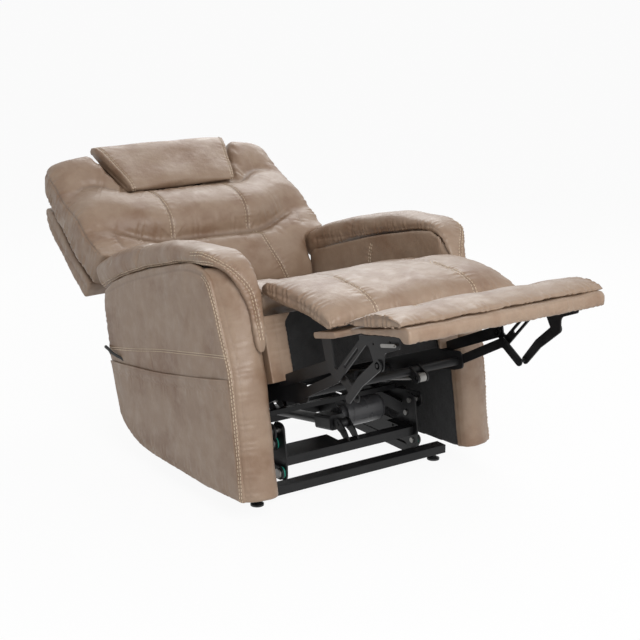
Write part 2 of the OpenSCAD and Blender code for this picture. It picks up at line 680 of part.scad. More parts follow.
module slotted_links() {
  slot = [for (t = [0.28, 0.72]) cross_pivot + t * (bracket_rear - cross_pivot)];
  color(steel) in_seat() pair() {
    difference() {
      link_plate(3, [short_link_top, cross_pivot, bracket_rear], 26, 24, [bracket_rear], []);
      plate(layer_x(3) - 1, layer_x(3) + link_t + 1) bar_flat(slot, 9);
    }
    plate(layer_x(3) + 0.01, layer_x(3) + link_t - 0.01)
      polygon(rounded([[-374, 136, 5], [-362, 160, 10], [-362, 214, 3], [-404, 211, 3], [-396, 130, 8]]));
    bar_x(short_link_top, 5, layer_x(2) - 1, layer_x(3) + 1);
    bar_x(cross_pivot, 5, layer_x(1) - 0.5, layer_x(3) + 1);
  }
}
module outer_links() {
  elbow = [-515, 96];
  color(steel) in_seat() pair() {
    link_plate(5, [knee_pivot, elbow, bracket_front], 22, 30, [], [bracket_front]);
    bar_x(knee_pivot, 5, layer_x(1) - 0.5, layer_x(5) + 1);
  }
}
module ottoman_brackets() {
  color(steel) in_seat() pair() {
    plate(layer_x(4), layer_x(4) + link_t) difference() {
      polygon(rounded([[-536, 211, 2], [-536, 186, 8], [-568, 184, 8], [-584, 124, 10], [-612, 112, 14], [-626, 160, 16],
        [-692, 166, 8], [-700, 194, 3]]));
      for (y = [-660, -590]) hole([y, 186], 7);
    }
    bar_x(bracket_rear, 5, layer_x(3) - 0.5, layer_x(4) + 1);
    bar_x(bracket_front, 5, layer_x(4) + 1, layer_x(5) + link_t + 1);
  }
}
module board_frame() {
  // Along the underside of the board, rear to front, then up.
  translate([0, -531.5, 205]) rotate([5.8, 0, 0]) children();
}
module footrest_board() {
  color(leather) in_seat() board_frame() translate([-board_half_w, 0, 0]) rotate([90, 0, 90])
    linear_extrude(2 * board_half_w) polygon(rounded([[0, 12, 7], [0, 27, 7], [-227, 27, 7], [-227, 12, 7]]));
}
// The middle board is fixed under the front edge of the front pad.
module middle_board() {
  color(leather) in_seat() plate(-300, 300)
    polygon(rounded([[-352, 216, 7], [-352, 232, 7], [-445, 225, 7], [-445, 209, 7]]));
}
module footrest_pad() {
  keys = [[-531, 240], [-546, 256], [-600, 267], [-659, 273], [-712, 262], [-752, 240], [-764, 222],
    [-752, 212], [-700, 217], [-640, 223], [-580, 229]];
  color(leather) in_seat() cushion(keys, 2, foot_half_w, 30, [0, 1], 6, [-190, 190], 4);
}
module return_springs() {
  color(zinc) in_seat() pair() plate(layer_x(5) + link_t + 4, layer_x(5) + link_t + 6.5) difference() {
    bar_flat([[-640, 180], [-690, 176]], 9);
    hole([-690, 176], 5);
  }
}
module legrest_actuator_casing() {
  color(cloth) in_seat() translate([legrest_x, 0, 0]) between(legrest_rear_eye, legrest_front_eye) {
    actuator_casing(78, 150, 14);
    translate([27 + gap, 62, 0]) motor_can(24, 100);
  }
}
module legrest_rod() {
  color(zinc) in_seat() translate([legrest_x, 0, 0]) between(legrest_rear_eye, legrest_front_eye)
    actuator_rod(160, span(legrest_rear_eye, legrest_front_eye), 8);
}

// ---------- back ----------
back_act_x = -60;
back_front_eye = [228, 106];
back_lever = [47.7, -51.2];
bracket_outline = [[-54, -52, 12], [-30, -64, 12], [26, -30, 18], [30, 40, 14], [14, 330, 12], [-14, 330, 12],
  [-28, 40, 20]];
module back_brackets() {
  color(steel) in_back() {
    pair() {
      plate(layer_x(1), layer_x(1) + link_t) difference() {
        polygon(rounded(bracket_outline));
        for (z = [120 : 60 : 300]) hole([0, z], 7);
      }
      bar_x(link_high, 5, layer_x(1) + 1, layer_x(2) + link_t + 1);
      bar_x([0, 0], 8 - fit, 261, layer_x(1) + 1.5);
    }
    bar_x([0, 0], 12, -262, 262);
    for (s = [-1, 1]) translate([back_act_x + s * 16, 0, 0]) plate(-2.5, 2.5) bar_flat([[0, 0], back_lever], 30, 28);
    clevis_pin(back_act_x, back_lever, 4);
  }
}
module back_shell() {
  upper = [[6, 288], [22, 300], [16, 400], [6, 480], [-12, 590], [-38, 636], [-62, 640], [-78, 590], [-60, 480],
    [-52, 400], [-48, 300], [-30, 286]];
  lower = [[-7, 174], [22, 192], [26, 230], [20, 276], [-4, 282], [-40, 276], [-42, 230], [-34, 184]];
  color(leather) in_back() difference() {
    union() {
      cushion(upper, 2, back_half_w - 10, 26, [1, 0], 3);
      cushion(lower, 2, 310, 14, [1, 0], 2);
    }
    pair() plate(layer_x(1) - gap, layer_x(1) + link_t + gap) offset(delta = gap) polygon(rounded(bracket_outline));
  }
}
module lumbar_cushion() {
  keys = [[-50, 130], [-48, 180], [-52, 240], [-60, 284], [-110, 290], [-160, 284], [-196, 262], [-204, 232],
    [-192, 196], [-166, 154], [-124, 118], [-80, 114]];
  color(leather) in_back() cushion(keys, 2, lumbar_half_w, 24, [-1, 0], 6, [-200, 200], 6);
}
module middle_cushion() {
  keys = [[-64, 310], [-66, 400], [-72, 490], [-100, 512], [-160, 508], [-214, 478], [-244, 420], [-248, 370],
    [-226, 320], [-170, 298], [-110, 300]];
  color(leather) in_back() cushion(keys, 2, back_half_w, 40, [-1, 0], 8, [-140, 140], 6);
}
module top_cushion() {
  keys = [[-76, 529], [-84, 600], [-92, 660], [-112, 704], [-150, back_h - 10], [-170, back_h - 26], [-172, 660], [-160, 600],
    [-156, 544], [-120, 523]];
  color(leather) in_back() cushion(keys, 2, back_half_w - 4, 40, [-1, 0], 4);
}
module headrest_leaf(grow) {
  offset(delta = grow) polygon([[-187, 514], [-181, 514], [-181, 690], [-187, 690]]);
}
module headrest_panel() {
  keys = [[-178, 560], [-182, 640], [-186, 712], [-200, 734], [-226, 728], [-244, 700], [-240, 650], [-228, 590],
    [-214, 540], [-192, 526]];
  color(leather) in_back() difference() {
    cushion(keys, 2, 200, 26, [-1, 0], 5, [-140, 140], 5, 0.24);
    pair() plate(60 - gap, 84 + gap) headrest_leaf(gap);
  }
}
// Two leaves in the headrest, on the bar it tips over.
module headrest_bracket() {
  color(steel) in_back() {
    pair() plate(60, 84) {
      headrest_leaf(0);
      translate(headrest_hinge) circle(d = 16);
    }
    bar_x(headrest_hinge, 4, -62, 62);
  }
}
// Arms from the back frame to the headrest's hinge, between the cushions.
module headrest_arms() {
  color(steel) in_back() pair() difference() {
    union() {
      translate([34, -178, 514.6]) cube([20, 109, 3.2]);
      bar_x(headrest_hinge, 9, 34, 54);
    }
    bar_x(headrest_hinge, 4 + fit, 30, 60);
  }
}
module back_actuator_casing() {
  color(cloth) in_seat() translate([back_act_x, 0, 0]) between(back_front_eye, back_pivot + [0, -70]) {
    actuator_casing(78, 90, 14);
    translate([27 + gap, 62, 0]) motor_can(24, 90);
  }
}
module back_rod() {
  color(zinc) in_seat() translate([back_act_x, 0, 0]) between(back_front_eye, back_pivot + [0, -70])
    actuator_rod(130, span(back_front_eye, back_pivot + [0, -70]), 8);
}

base_front_rail();
base_side_rails();
base_rear_rail();
levelling_feet();
base_brackets();
lower_lift_arms();
upper_lift_arms();
front_plates();
front_crossbar();
frame_rails();
pivot_bolts();
nylon_washers();
lift_actuator_casing();
lift_motor();
lift_rod();
tilt_actuator_casing();
tilt_rod();
body_rails();
right_arm_panel();
left_arm_panel();
right_arm_front();
left_arm_front();
arm_linings();
right_arm_pad();
left_arm_pad();
side_pocket();
control_box();
handset();
lift_rocker();
back_rocker();
legrest_rocker();
handset_lead();
seat_plates();
seat_lift_links();
seat_box();
front_end_panels();
front_fabric();
seat_cushion();
chaise_pad();
long_links();
short_links();
slotted_links();
outer_links();
ottoman_brackets();
middle_board();
footrest_board();
footrest_pad();
return_springs();
legrest_actuator_casing();
legrest_rod();
back_brackets();
back_shell();
lumbar_cushion();
middle_cushion();
top_cushion();
headrest_panel();
headrest_bracket();
headrest_arms();
back_actuator_casing();
back_rod();
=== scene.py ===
import json
import math

import bmesh
import bpy
import numpy as np
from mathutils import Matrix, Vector
from mathutils.bvhtree import BVHTree
from mathutils.kdtree import KDTree


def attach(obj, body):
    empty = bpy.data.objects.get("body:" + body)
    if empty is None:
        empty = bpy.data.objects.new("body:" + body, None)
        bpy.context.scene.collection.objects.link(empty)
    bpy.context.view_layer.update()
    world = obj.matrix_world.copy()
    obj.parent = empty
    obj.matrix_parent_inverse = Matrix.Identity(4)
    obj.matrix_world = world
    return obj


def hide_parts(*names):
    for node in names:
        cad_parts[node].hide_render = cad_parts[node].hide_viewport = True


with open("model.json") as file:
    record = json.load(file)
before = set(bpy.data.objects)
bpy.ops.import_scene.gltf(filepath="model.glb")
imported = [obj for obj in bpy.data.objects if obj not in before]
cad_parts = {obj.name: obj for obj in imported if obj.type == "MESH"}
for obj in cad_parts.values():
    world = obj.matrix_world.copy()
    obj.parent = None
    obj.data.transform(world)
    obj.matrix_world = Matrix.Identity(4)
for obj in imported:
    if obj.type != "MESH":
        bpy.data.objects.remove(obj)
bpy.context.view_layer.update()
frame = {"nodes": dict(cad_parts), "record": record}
print("frame loaded")

# the chair's own axes: millimetres in, metres out
chair = {
    "frontRailY": -253.0,  # front rail, from the middle of the chair
    "tiltPivot": (20.0, 200.0),  # y and z of each pivot
    "seatPivot": (250.0, 60.0),
    "backPivot": (535.0, 235.0),
    "tilt": -10.0,
    "rise": -7.0,
    "recline": -43.0,
}
hands = {-1: "right", 1: "left"}  # the sitter's, by the sign of x


def turned(points, degrees):
    a = math.radians(degrees)
    out = points.copy()
    out[..., 1] = points[..., 1] * math.cos(a) - points[..., 2] * math.sin(a)
    out[..., 2] = points[..., 1] * math.sin(a) + points[..., 2] * math.cos(a)
    return out


def fromBody(points):
    p = turned(np.array(points, float).reshape(-1, 3), chair["tilt"])
    y, z = chair["tiltPivot"]
    return (p + (0, y + chair["frontRailY"], z)) / 1000


def fromSeat(points):
    y, z = chair["seatPivot"]
    p = np.array(points, float).reshape(-1, 3) - (0, y, z)
    return fromBody(turned(p, chair["rise"]) + (0, y, z))


def fromBack(points):
    y, z = chair["backPivot"]
    return fromSeat(turned(np.array(points, float).reshape(-1, 3), chair["recline"]) + (0, y, z))


def intoBody(points):
    y, z = chair["tiltPivot"]
    return turned(np.asarray(points, float) * 1000 - (0, y + chair["frontRailY"], z), -chair["tilt"])


def intoSeat(points):
    y, z = chair["seatPivot"]
    return turned(intoBody(points) - (0, y, z), -chair["rise"]) + (0, y, z)


# camera
camera = {
    "place": (-2.249, -3.351, 1.531),
    "azimuth": -34.657,
    "elevation": 15.275,
    "lens": 79.5,
    "sensor": 36,
}


def placed(name, data):
    obj = bpy.data.objects.new(name, data)
    bpy.context.scene.collection.objects.link(obj)
    return obj


def makeCamera():
    data = bpy.data.cameras.new("camera")
    data.lens = camera["lens"]
    data.sensor_width = camera["sensor"]
    obj = placed("camera", data)
    a, e = math.radians(camera["azimuth"]), math.radians(camera["elevation"])
    back = Vector((math.sin(a) * math.cos(e), -math.cos(a) * math.cos(e), math.sin(e)))
    obj.location = camera["place"]
    obj.rotation_euler = (-back).to_track_quat("-Z", "Y").to_euler()
    bpy.context.scene.camera = obj


makeCamera()
print("camera placed")


# curves
def smooth(t):
    t = np.clip(t, 0, 1)
    return t * t * (3 - 2 * t)


def curveThrough(table, t):
    # a smooth curve through rows of (position, value), read at t
    table = np.array(table, float)
    x, y = table[:, 0], table[:, 1]
    t = np.asarray(t, float)
    slope = np.gradient(y, x)
    i = np.clip(np.searchsorted(x, t) - 1, 0, len(x) - 2)
    h = x[i + 1] - x[i]
    u = np.clip((t - x[i]) / h, 0, 1)
    return (
        y[i] * (1 + 2 * u) * (1 - u) ** 2
        + slope[i] * h * u * (1 - u) ** 2
        + y[i + 1] * u * u * (3 - 2 * u)
        + slope[i + 1] * h * u * u * (u - 1)
    )


def splinePoint(a, b, c, d, t):
    first, second, third = c - a, 2 * a - 5 * b + 4 * c - d, 3 * b - a - 3 * c + d
    return 0.5 * (2 * b + first * t + second * t**2 + third * t**3)


def closedCurve(keys, steps):
    k = np.array(keys, float)
    n = len(k)
    out = []
    for i in range(n):
        near = k[i - 1], k[i], k[(i + 1) % n], k[(i + 2) % n]
        out += [splinePoint(*near, s / steps) for s in range(steps)]
    return np.array(out)


def openCurve(points, steps=8):
    p = np.array(points, float)
    n = len(p)
    out = []
    for i in range(n - 1):
        near = p[max(0, i - 1)], p[i], p[i + 1], p[min(n - 1, i + 2)]
        out += [splinePoint(*near, s / steps) for s in range(steps)]
    return np.array(out + [p[-1]])


def evenly(line, step):
    line = np.asarray(line, float)
    gaps = np.linalg.norm(np.diff(line, axis=0), axis=1)
    along = np.concatenate([[0], np.cumsum(gaps)])
    count = max(2, int(round(along[-1] / step)))
    stops = np.linspace(0, along[-1], count + 1)
    return np.stack([np.interp(stops, along, line[:, k]) for k in range(line.shape[1])], 1)


def at(x, points):
    return [(x, y, z) for y, z in points]


def sided(points, side):
    return [(side * x, y, z) for x, y, z in points]


def addLine(data, line):
    spline = data.splines.new("POLY")
    spline.points.add(len(line) - 1)
    for point, p in zip(spline.points, line):
        point.co = (*p, 1)


# meshes
def pointsOf(items, field):
    values = np.zeros(len(items) * 3)
    items.foreach_get(field, values)
    return values.reshape(-1, 3)


def coordsOf(obj):
    return pointsOf(obj.data.vertices, "co")


def normalsOf(obj):
    return pointsOf(obj.data.vertex_normals, "vector")


def setCoords(obj, co):
    obj.data.vertices.foreach_set("co", np.asarray(co, float).ravel())
    obj.data.update()


def shadeSmooth(mesh):
    mesh.polygons.foreach_set("use_smooth", [True] * len(mesh.polygons))


def meshPiece(name, verts, faces):
    mesh = bpy.data.meshes.new(name)
    mesh.from_pydata([tuple(v) for v in verts], [], [tuple(f) for f in faces])
    mesh.validate()
    shadeSmooth(mesh)
    return placed(name, mesh)


def outward(obj):
    bm = bmesh.new()
    bm.from_mesh(obj.data)
    bmesh.ops.remove_doubles(bm, verts=bm.verts, dist=1e-6)
    bmesh.ops.recalc_face_normals(bm, faces=bm.faces)
    if bm.calc_volume(signed=True) < 0:
        bmesh.ops.reverse_faces(bm, faces=bm.faces)
    bm.to_mesh(obj.data)
    bm.free()
    obj.data.update()
    return obj


def applyModifiers(obj):
    graph = bpy.context.evaluated_depsgraph_get()
    mesh = bpy.data.meshes.new_from_object(obj.evaluated_get(graph))
    old = obj.data
    obj.modifiers.clear()
    obj.data = mesh
    bpy.data.meshes.remove(old)
    mesh.name = obj.name
    shadeSmooth(mesh)
    return obj


def refine(obj):
    fine = obj.modifiers.new("fine", "SUBSURF")
    fine.levels = fine.render_levels = 1
    return applyModifiers(obj)


def relax(obj, turns):
    soft = obj.modifiers.new("soft", "SMOOTH")
    soft.factor = 0.5
    soft.iterations = turns
    return applyModifiers(obj)


def tubeFaces(rings, n):
    # the quads between one ring of n points and the next
    faces = []
    for i in range(rings - 1):
        for j in range(n):
            k = (j + 1) % n
            faces.append((i * n + j, i * n + k, (i + 1) * n + k, (i + 1) * n + j))
    return faces


def closedTube(rings, name):
    n, m = len(rings[0]), len(rings)
    flat = np.array(rings, float).reshape(-1, 3)
    verts = np.concatenate([flat, [np.mean(rings[0], 0), np.mean(rings[-1], 0)]])
    faces = tubeFaces(m, n)
    for j in range(n):
        k = (j + 1) % n
        faces.append((m * n, k, j))
        faces.append((m * n + 1, (m - 1) * n + j, (m - 1) * n + k))
    return outward(meshPiece(name, verts, faces))


def prism(name, place, outline, low, high, slices=1, across=True):
    # the outline stands in y, z and runs along x, or stands in x, z and runs along y
    n = len(outline)
    rings = []
    for t in np.linspace(low, high, slices + 1):
        rings.append(place([(t, a, b) if across else (a, t, b) for a, b in outline]))
    ends = [tuple(range(n)), tuple(range(slices * n, slices * n + n))]
    return outward(meshPiece(name, np.concatenate(rings), ends + tubeFaces(slices + 1, n)))


def clothSheet(name, verts, across, down, axis, thickness, offset):
    # a grid of verts, column by column, with its face towards the low end of the axis
    step = down + 1
    corners = [i * step + j for i in range(across) for j in range(down)]
    obj = meshPiece(name, verts, [(k, k + 1, k + step + 1, k + step) for k in corners])
    if np.mean(normalsOf(obj)[:, axis]) > 0:
        obj.data.flip_normals()
    thick = obj.modifiers.new("thick", "SOLIDIFY")
    thick.thickness = thickness / 1000
    thick.offset = offset
    return refine(applyModifiers(obj))


def rounded(obj, voxel, turns, shrink=0.0):
    even = obj.modifiers.new("even", "REMESH")
    even.mode = "VOXEL"
    even.voxel_size = voxel / 1000
    applyModifiers(obj)
    if turns:
        relax(obj, turns)
    if shrink:
        setCoords(obj, coordsOf(obj) - normalsOf(obj) * shrink / 1000)
    return obj


def profile(name, place, piece):
    # a piece's closed outline, run across the chair and rounded off
    outline = closedCurve(piece["outline"], piece["steps"])
    return rounded(prism(name, place, outline, -piece["half"], piece["half"], 8), *piece["cut"])


def joined(name, parts):
    bm = bmesh.new()
    for part in parts:
        bm.from_mesh(part.data)
    mesh = bpy.data.meshes.new(name)
    bm.to_mesh(mesh)
    bm.free()
    for part in parts:
        bpy.data.objects.remove(part)
    shadeSmooth(mesh)
    return placed(name, mesh)


def ripple(obj, depth, size, seed):
    # nine soft waves in random directions, around the given size
    rng = np.random.default_rng(seed)
    co, lift = coordsOf(obj), 0
    for k in range(9):
        way = rng.normal(size=3)
        way /= np.linalg.norm(way)
        pitch = size * rng.uniform(0.6, 1.6)
        lift = lift + np.sin(co @ way * 2 * math.pi * 1000 / pitch + rng.uniform(0, 6.3))
    setCoords(obj, co + normalsOf(obj) * (lift * depth / 3000)[:, None])
    return obj


# seams
sewing = {
    "step": 0.0025,  # between the points of a sewn line, in metres
    "single": 3.0,  # a single line of stitches stands this far from its seam
    "lift": 0.0004,
    "shadeWidth": 0.45,  # of the seam's own width
    "shadeDepth": 0.004,
}
stitchLines = {}


# A row is one sewn line: its points, how deep and wide it draws in, how far stitches
# stand from it on either side (0 for one line, None for none), gathers as (depth,
# reach, pitch), how far around it the padding is held, and how it fades at its ends.
def row(place, points, depth, width, twin=None, gather=None, hold=12.0, fade=0.0):
    return {
        "line": evenly(openCurve(place(points)), sewing["step"]),
        "depth": depth / 1000,
        "width": width / 1000,
        "twin": twin,
        "gather": gather,
        "hold": hold / 1000,
        "fade": fade / 1000,
    }


def mirrored(x, place, points, *sizes, **more):
    return [row(place, at(s * x, points), *sizes, **more) for s in (-1, 1)]


def snapped(obj, line):
    tree = BVHTree.FromObject(obj, bpy.context.evaluated_depsgraph_get())
    hits = [tree.find_nearest(Vector(p)) for p in line]
    return np.array([h[0] for h in hits]), np.array([h[1] for h in hits])


def nearest(obj, lines):
    # for each vertex the nearest line, the place along it and the distance to it
    tree = KDTree(sum(len(line) for line in lines))
    lineOf, along = [], []
    for k, line in enumerate(lines):
        for i, p in enumerate(line):
            tree.insert(p, len(lineOf))
            lineOf.append(k)
            along.append(i * sewing["step"])
    tree.balance()
    found = [tree.find(p)[1:] for p in coordsOf(obj)]
    index = np.array([f[0] for f in found])
    return np.array(lineOf)[index], np.array(along)[index], np.array([f[1] for f in found])


def gathered(k, gather, along, far):
    deep, reach, pitch = (v / 1000 for v in gather)
    s = along + 0.35 * pitch * np.sin(along * 37 + k) + 0.3 * pitch * np.sin(along * 91 + 2 * k)
    wave = 0.5 + 0.5 * np.sin(2 * np.pi * s / pitch)
    near = np.exp(-((far / reach) ** 2)) * smooth(far / (0.25 * reach) + 0.3)
    return deep * wave * near


def sew(obj, body, rows):
    bpy.context.view_layer.update()
    lines = [snapped(obj, r["line"]) for r in rows]
    which, along, far = nearest(obj, [p for p, n in lines])
    depth = np.array([r["depth"] for r in rows])[which]
    width = np.array([r["width"] for r in rows])[which]
    fade = np.array([r["fade"] for r in rows])[which]
    whole = np.array([len(p) * sewing["step"] for p, n in lines])[which]
    toEnd = np.minimum(along, whole - along)
    ends = np.where(fade > 0, smooth(toEnd / np.maximum(fade, 0.001)), 1.0)
    move = depth * np.exp(-((far / width) ** 2)) * ends
    for k, r in enumerate(rows):
        if r["gather"]:
            move += (which == k) * gathered(k, r["gather"], along, far) * ends
    # painted shade: how much the leather's colour darkens in each seam groove, stronger for deeper seams,
    # kept as a point attribute
    shade = np.exp(-((far / (sewing["shadeWidth"] * width)) ** 2)) * ends
    shade *= np.clip(depth / sewing["shadeDepth"], 0, 1)
    setCoords(obj, coordsOf(obj) - normalsOf(obj) * move[:, None])
    paintedSeamShade = obj.data.attributes.new("paintedSeamShade", "FLOAT", "POINT")
    paintedSeamShade.data.foreach_set("value", shade.astype(np.float32))
    bpy.context.view_layer.update()
    for r, (points, normals) in zip(rows, lines):
        if r["twin"] is None:
            continue
        side = np.cross(np.gradient(points, axis=0), normals)
        side /= np.maximum(np.linalg.norm(side, axis=1), 1e-9)[:, None]
        for s in (-1, 1) if r["twin"] else (1,):
            on, up = snapped(obj, points + s * side * (max(r["twin"], sewing["single"]) / 1000))
            stitchLines.setdefault(body, []).append(on + up * sewing["lift"])


# padding
padding = {
    "frames": 20,
    "pressure": 4.0,
    "quality": 5,
    "mass": 0.4,
    "stiffness": 12,
    "bending": 0.6,
    "turns": 4,
    "quickShare": 0.45,
}


def puff(obj, cap, rows):
    bpy.context.view_layer.update()
    start = coordsOf(obj)
    which, along, far = nearest(obj, [snapped(obj, r["line"])[0] for r in rows])
    held = 1 - smooth(far / np.array([r["hold"] for r in rows])[which])
    group = obj.vertex_groups.new(name="held")
    for i in np.nonzero(held > 0.02)[0]:
        group.add([int(i)], float(held[i]), "REPLACE")
    cloth = obj.modifiers.new("cloth", "CLOTH")
    s = cloth.settings
    s.quality = padding["quality"]
    s.mass = padding["mass"]
    s.tension_stiffness = s.compression_stiffness = padding["stiffness"]
    s.bending_stiffness = padding["bending"]
    s.use_pressure = True
    s.uniform_pressure_force = padding["pressure"]
    s.effector_weights.gravity = 0
    s.vertex_group_mass = "held"
    cloth.collision_settings.use_collision = False
    cloth.point_cache.frame_end = padding["frames"] + 1
    for f in range(1, padding["frames"] + 1):
        bpy.context.scene.frame_set(f)
    swollen = obj.evaluated_get(bpy.context.evaluated_depsgraph_get())
    move = pointsOf(swollen.to_mesh().vertices, "co") - start
    swollen.to_mesh_clear()
    obj.modifiers.remove(cloth)
    bpy.context.scene.frame_set(1)
    far = np.linalg.norm(move, axis=1)
    move *= (np.minimum(far, cap / 1000) / np.maximum(far, 1e-9))[:, None]
    setCoords(obj, start + move)
    return refine(relax(obj, padding["turns"]))


def settle(obj, body, nodes, rows=(), slot="taupe_leather"):
    if rows:
        sew(obj, body, rows)
    obj.data.materials.clear()
    obj.data.materials.append(finish[slot])
    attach(obj, body)
    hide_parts(*nodes)
    print(obj.name, "made,", len(obj.data.polygons), "faces")


def upholster(obj, piece, body, nodes, rows, seed):
    puff(obj, piece["cap"], rows)
    ripple(obj, *piece["ripple"], seed)
    settle(obj, body, nodes, rows)


print("helpers ready")


# finishes
def connect(tree, node, inputs):
    # an input given as another node's output is linked, and any other value is set
    for key, value in dict(inputs).items():
        if isinstance(value, bpy.types.NodeSocket):
            tree.links.new(value, node.inputs[key])
        else:
            node.inputs[key].default_value = value
    return node


def addNode(tree, kind, inputs=(), **settings):
    node = tree.nodes.new(("GeometryNode" if tree.type == "GEOMETRY" else "ShaderNode") + kind)
    for key, value in settings.items():
        setattr(node, key, value)
    return connect(tree, node, inputs)


def newFinish(name, rough, metal=0.0):
    mat = bpy.data.materials.new(name)
    mat.use_nodes = True
    tree = mat.node_tree
    shader = connect(tree, tree.nodes["Principled BSDF"], {"Roughness": rough, "Metallic": metal})
    return mat, tree, shader, addNode(tree, "TexCoord").outputs["Object"]


def cloudy(tree, place, size, detail=4.0, low=0.35, high=0.65):
    # a soft random value from 0 to 1 with patches of about that size in metres
    noise = addNode(tree, "TexNoise", {"Scale": 1 / size, "Detail": detail, "Vector": place})
    span = {"From Min": low, "From Max": high, "Value": noise.outputs["Fac"]}
    return addNode(tree, "MapRange", span).outputs["Result"]


def blended(tree, share, a, b):
    a, b = ((*c, 1) if isinstance(c, tuple) else c for c in (a, b))
    return addNode(tree, "Mix", {0: share, 6: a, 7: b}, data_type="RGBA").outputs[2]


def scaled(tree, value, by, plus=0.0):
    return addNode(tree, "Math", {0: value, 1: by, 2: plus}, operation="MULTIPLY_ADD").outputs[0]


def bumped(tree, shader, heights):
    # heights are (value, depth in metres), each laid over the one before
    below = {}
    for value, depth in heights:
        bump = addNode(tree, "Bump", {"Distance": depth, "Strength": 1.0, "Height": value, **below})
        below = {"Normal": bump.outputs["Normal"]}
    connect(tree, shader, below)


leather = {
    "base": (0.272, 0.190, 0.133),
    "brown": (0.180, 0.100, 0.057),
    "pale": (0.360, 0.268, 0.194),
    # painted shade colour laid into the seam grooves, with its share below
    "paintedSeamShade": (0.100, 0.064, 0.043),
    "patch": (0.12, 4.0, 0.44, 0.68),  # clouds: size in metres, detail, low and high
    "fleck": (0.035, 5.0, 0.45, 0.8),
    "drag": (0.05, 5.0, 0.2, 0.8),
    "brownShare": 0.75,
    "paleShare": 0.42,
    "paintedSeamShadeShare": 0.42,
    "grain": 0.0021,
    "grainDepth": 0.00022,
    "dragDepth": 0.0024,
    "roughness": 0.42,
}


def makeLeather():
    mat, tree, shader, place = newFinish("taupeLeather", leather["roughness"])
    patch = cloudy(tree, place, *leather["patch"])
    fleck = cloudy(tree, place, *leather["fleck"])
    drag = cloudy(tree, place, *leather["drag"])
    # the seam attribute is painted shade, darkening the leather in the seam grooves
    seam = addNode(tree, "Attribute", attribute_name="paintedSeamShade").outputs["Fac"]
    colour = leather["base"]
    for value, name in ((patch, "brown"), (fleck, "pale"), (seam, "paintedSeamShade")):
        colour = blended(tree, scaled(tree, value, leather[name + "Share"]), colour, leather[name])
    shine = scaled(tree, fleck, -0.12, leather["roughness"] + 0.04)
    connect(tree, shader, {"Base Color": colour, "Roughness": shine})
    grain = addNode(tree, "TexVoronoi", {"Scale": 1 / leather["grain"], "Vector": place}, feature="F1")
    heights = [(grain.outputs["Distance"], leather["grainDepth"]), (drag, leather["dragDepth"])]
    bumped(tree, shader, heights)
    return mat


paint = {
    "wear": (0.07, 5.0, 0.4, 0.75),  # clouds, as for the leather
    "brighter": 1.35,
    "grain": (2.0, 0.2, 0.8),  # detail, low and high
}


def makePaint(name, colour, rough, depth, metal=0.0, size=0.0014, gloss=0.5):
    mat, tree, shader, place = newFinish(name, rough, metal)
    worn = cloudy(tree, place, *paint["wear"])
    brighter = tuple(min(1.0, c * paint["brighter"] + 0.004) for c in colour)
    inputs = {
        "Base Color": blended(tree, worn, colour, brighter),
        "Roughness": scaled(tree, worn, 0.14, rough - 0.05),
        "Specular IOR Level": gloss,
    }
    connect(tree, shader, inputs)
    bumped(tree, shader, [(cloudy(tree, place, size, *paint["grain"]), depth)])
    return mat


def makeCloth(name, colour, pitch, depth):
    mat, tree, shader, place = newFinish(name, 0.9)
    thread = {"Scale": 0.32 / pitch, "Distortion": 0.6, "Detail Scale": 0.5 / pitch, "Vector": place}
    runs = [addNode(tree, "TexWave", thread, bands_direction=way).outputs["Fac"] for way in ("X", "Z")]
    weave = addNode(tree, "Math", {0: runs[0], 1: runs[1]}, operation="ADD").outputs[0]
    fuzz = cloudy(tree, place, 0.03, 6.0, 0.35, 0.7)
    paler = tuple(c * 2.1 + 0.003 for c in colour)
    connect(tree, shader, {"Base Color": blended(tree, fuzz, colour, paler), "Sheen Weight": 0.15})
    bumped(tree, shader, [(weave, depth), (fuzz, 0.001)])
    return mat


def makePine():
    mat, tree, shader, place = newFinish("sawnPine", 0.72)
    growth = {"Scale": 22, "Distortion": 4, "Detail": 3, "Vector": place}
    rings = addNode(tree, "TexWave", growth, wave_type="RINGS").outputs["Fac"]
    colour = blended(tree, rings, (0.50, 0.33, 0.17), (0.62, 0.45, 0.26))
    connect(tree, shader, {"Base Color": colour})
    bumped(tree, shader, [(rings, 0.0004), (cloudy(tree, place, 0.004), 0.0003)])
    return mat


finish = {
    "taupe_leather": makeLeather(),
    "black_steel": makePaint("blackSteel", (0.007, 0.007, 0.0075), 0.4, 0.00012, gloss=0.28),
    "zinc": makePaint("zincPlate", (0.24, 0.235, 0.225), 0.42, 0.00006, 1.0, 0.0022),
    "green_nylon": makePaint("greenNylon", (0.01, 0.20, 0.145), 0.5, 0.00008),
    "dust_cloth": makeCloth("dustCloth", (0.006, 0.006, 0.0065), 0.0012, 0.0002),
    "pine": makePine(),
    "black_plastic": makePaint("blackPlastic", (0.012, 0.012, 0.013), 0.48, 0.0001, 0.0, 0.0009),
    "grey_plastic": makePaint("greyPlastic", (0.052, 0.052, 0.056), 0.5, 0.0001, 0.0, 0.0009),
    "motor_paint": makePaint("motorPaint", (0.055, 0.055, 0.058), 0.3, 0.00008),
    "lead_rubber": makePaint("leadRubber", (0.010, 0.010, 0.010), 0.6, 0.0001),
}
paleThread = makePaint("paleThread", (0.56, 0.46, 0.34), 0.7, 0.0002, 0.0, 0.0012)
print("finishes ready")

# the handset's lead, from the control box to the handset in the pocket
lead = {
    "route": [
        (-175, 512, 29), (-175, 535, 29), (-200, 562, 30), (-260, 590, 40), (-330, 612, 60),
        (-380, 622, 92), (-404, 626, 140), (-412, 626, 185), (-424, 622, 215), (-438, 613, 230),
        (-447, 597, 232), (-448, 576, 226), (-447, 555, 216), (-443, 534, 208), (-434, 513, 197),
        (-427, 500, 178),
    ],
    "diameter": 9.0,
}


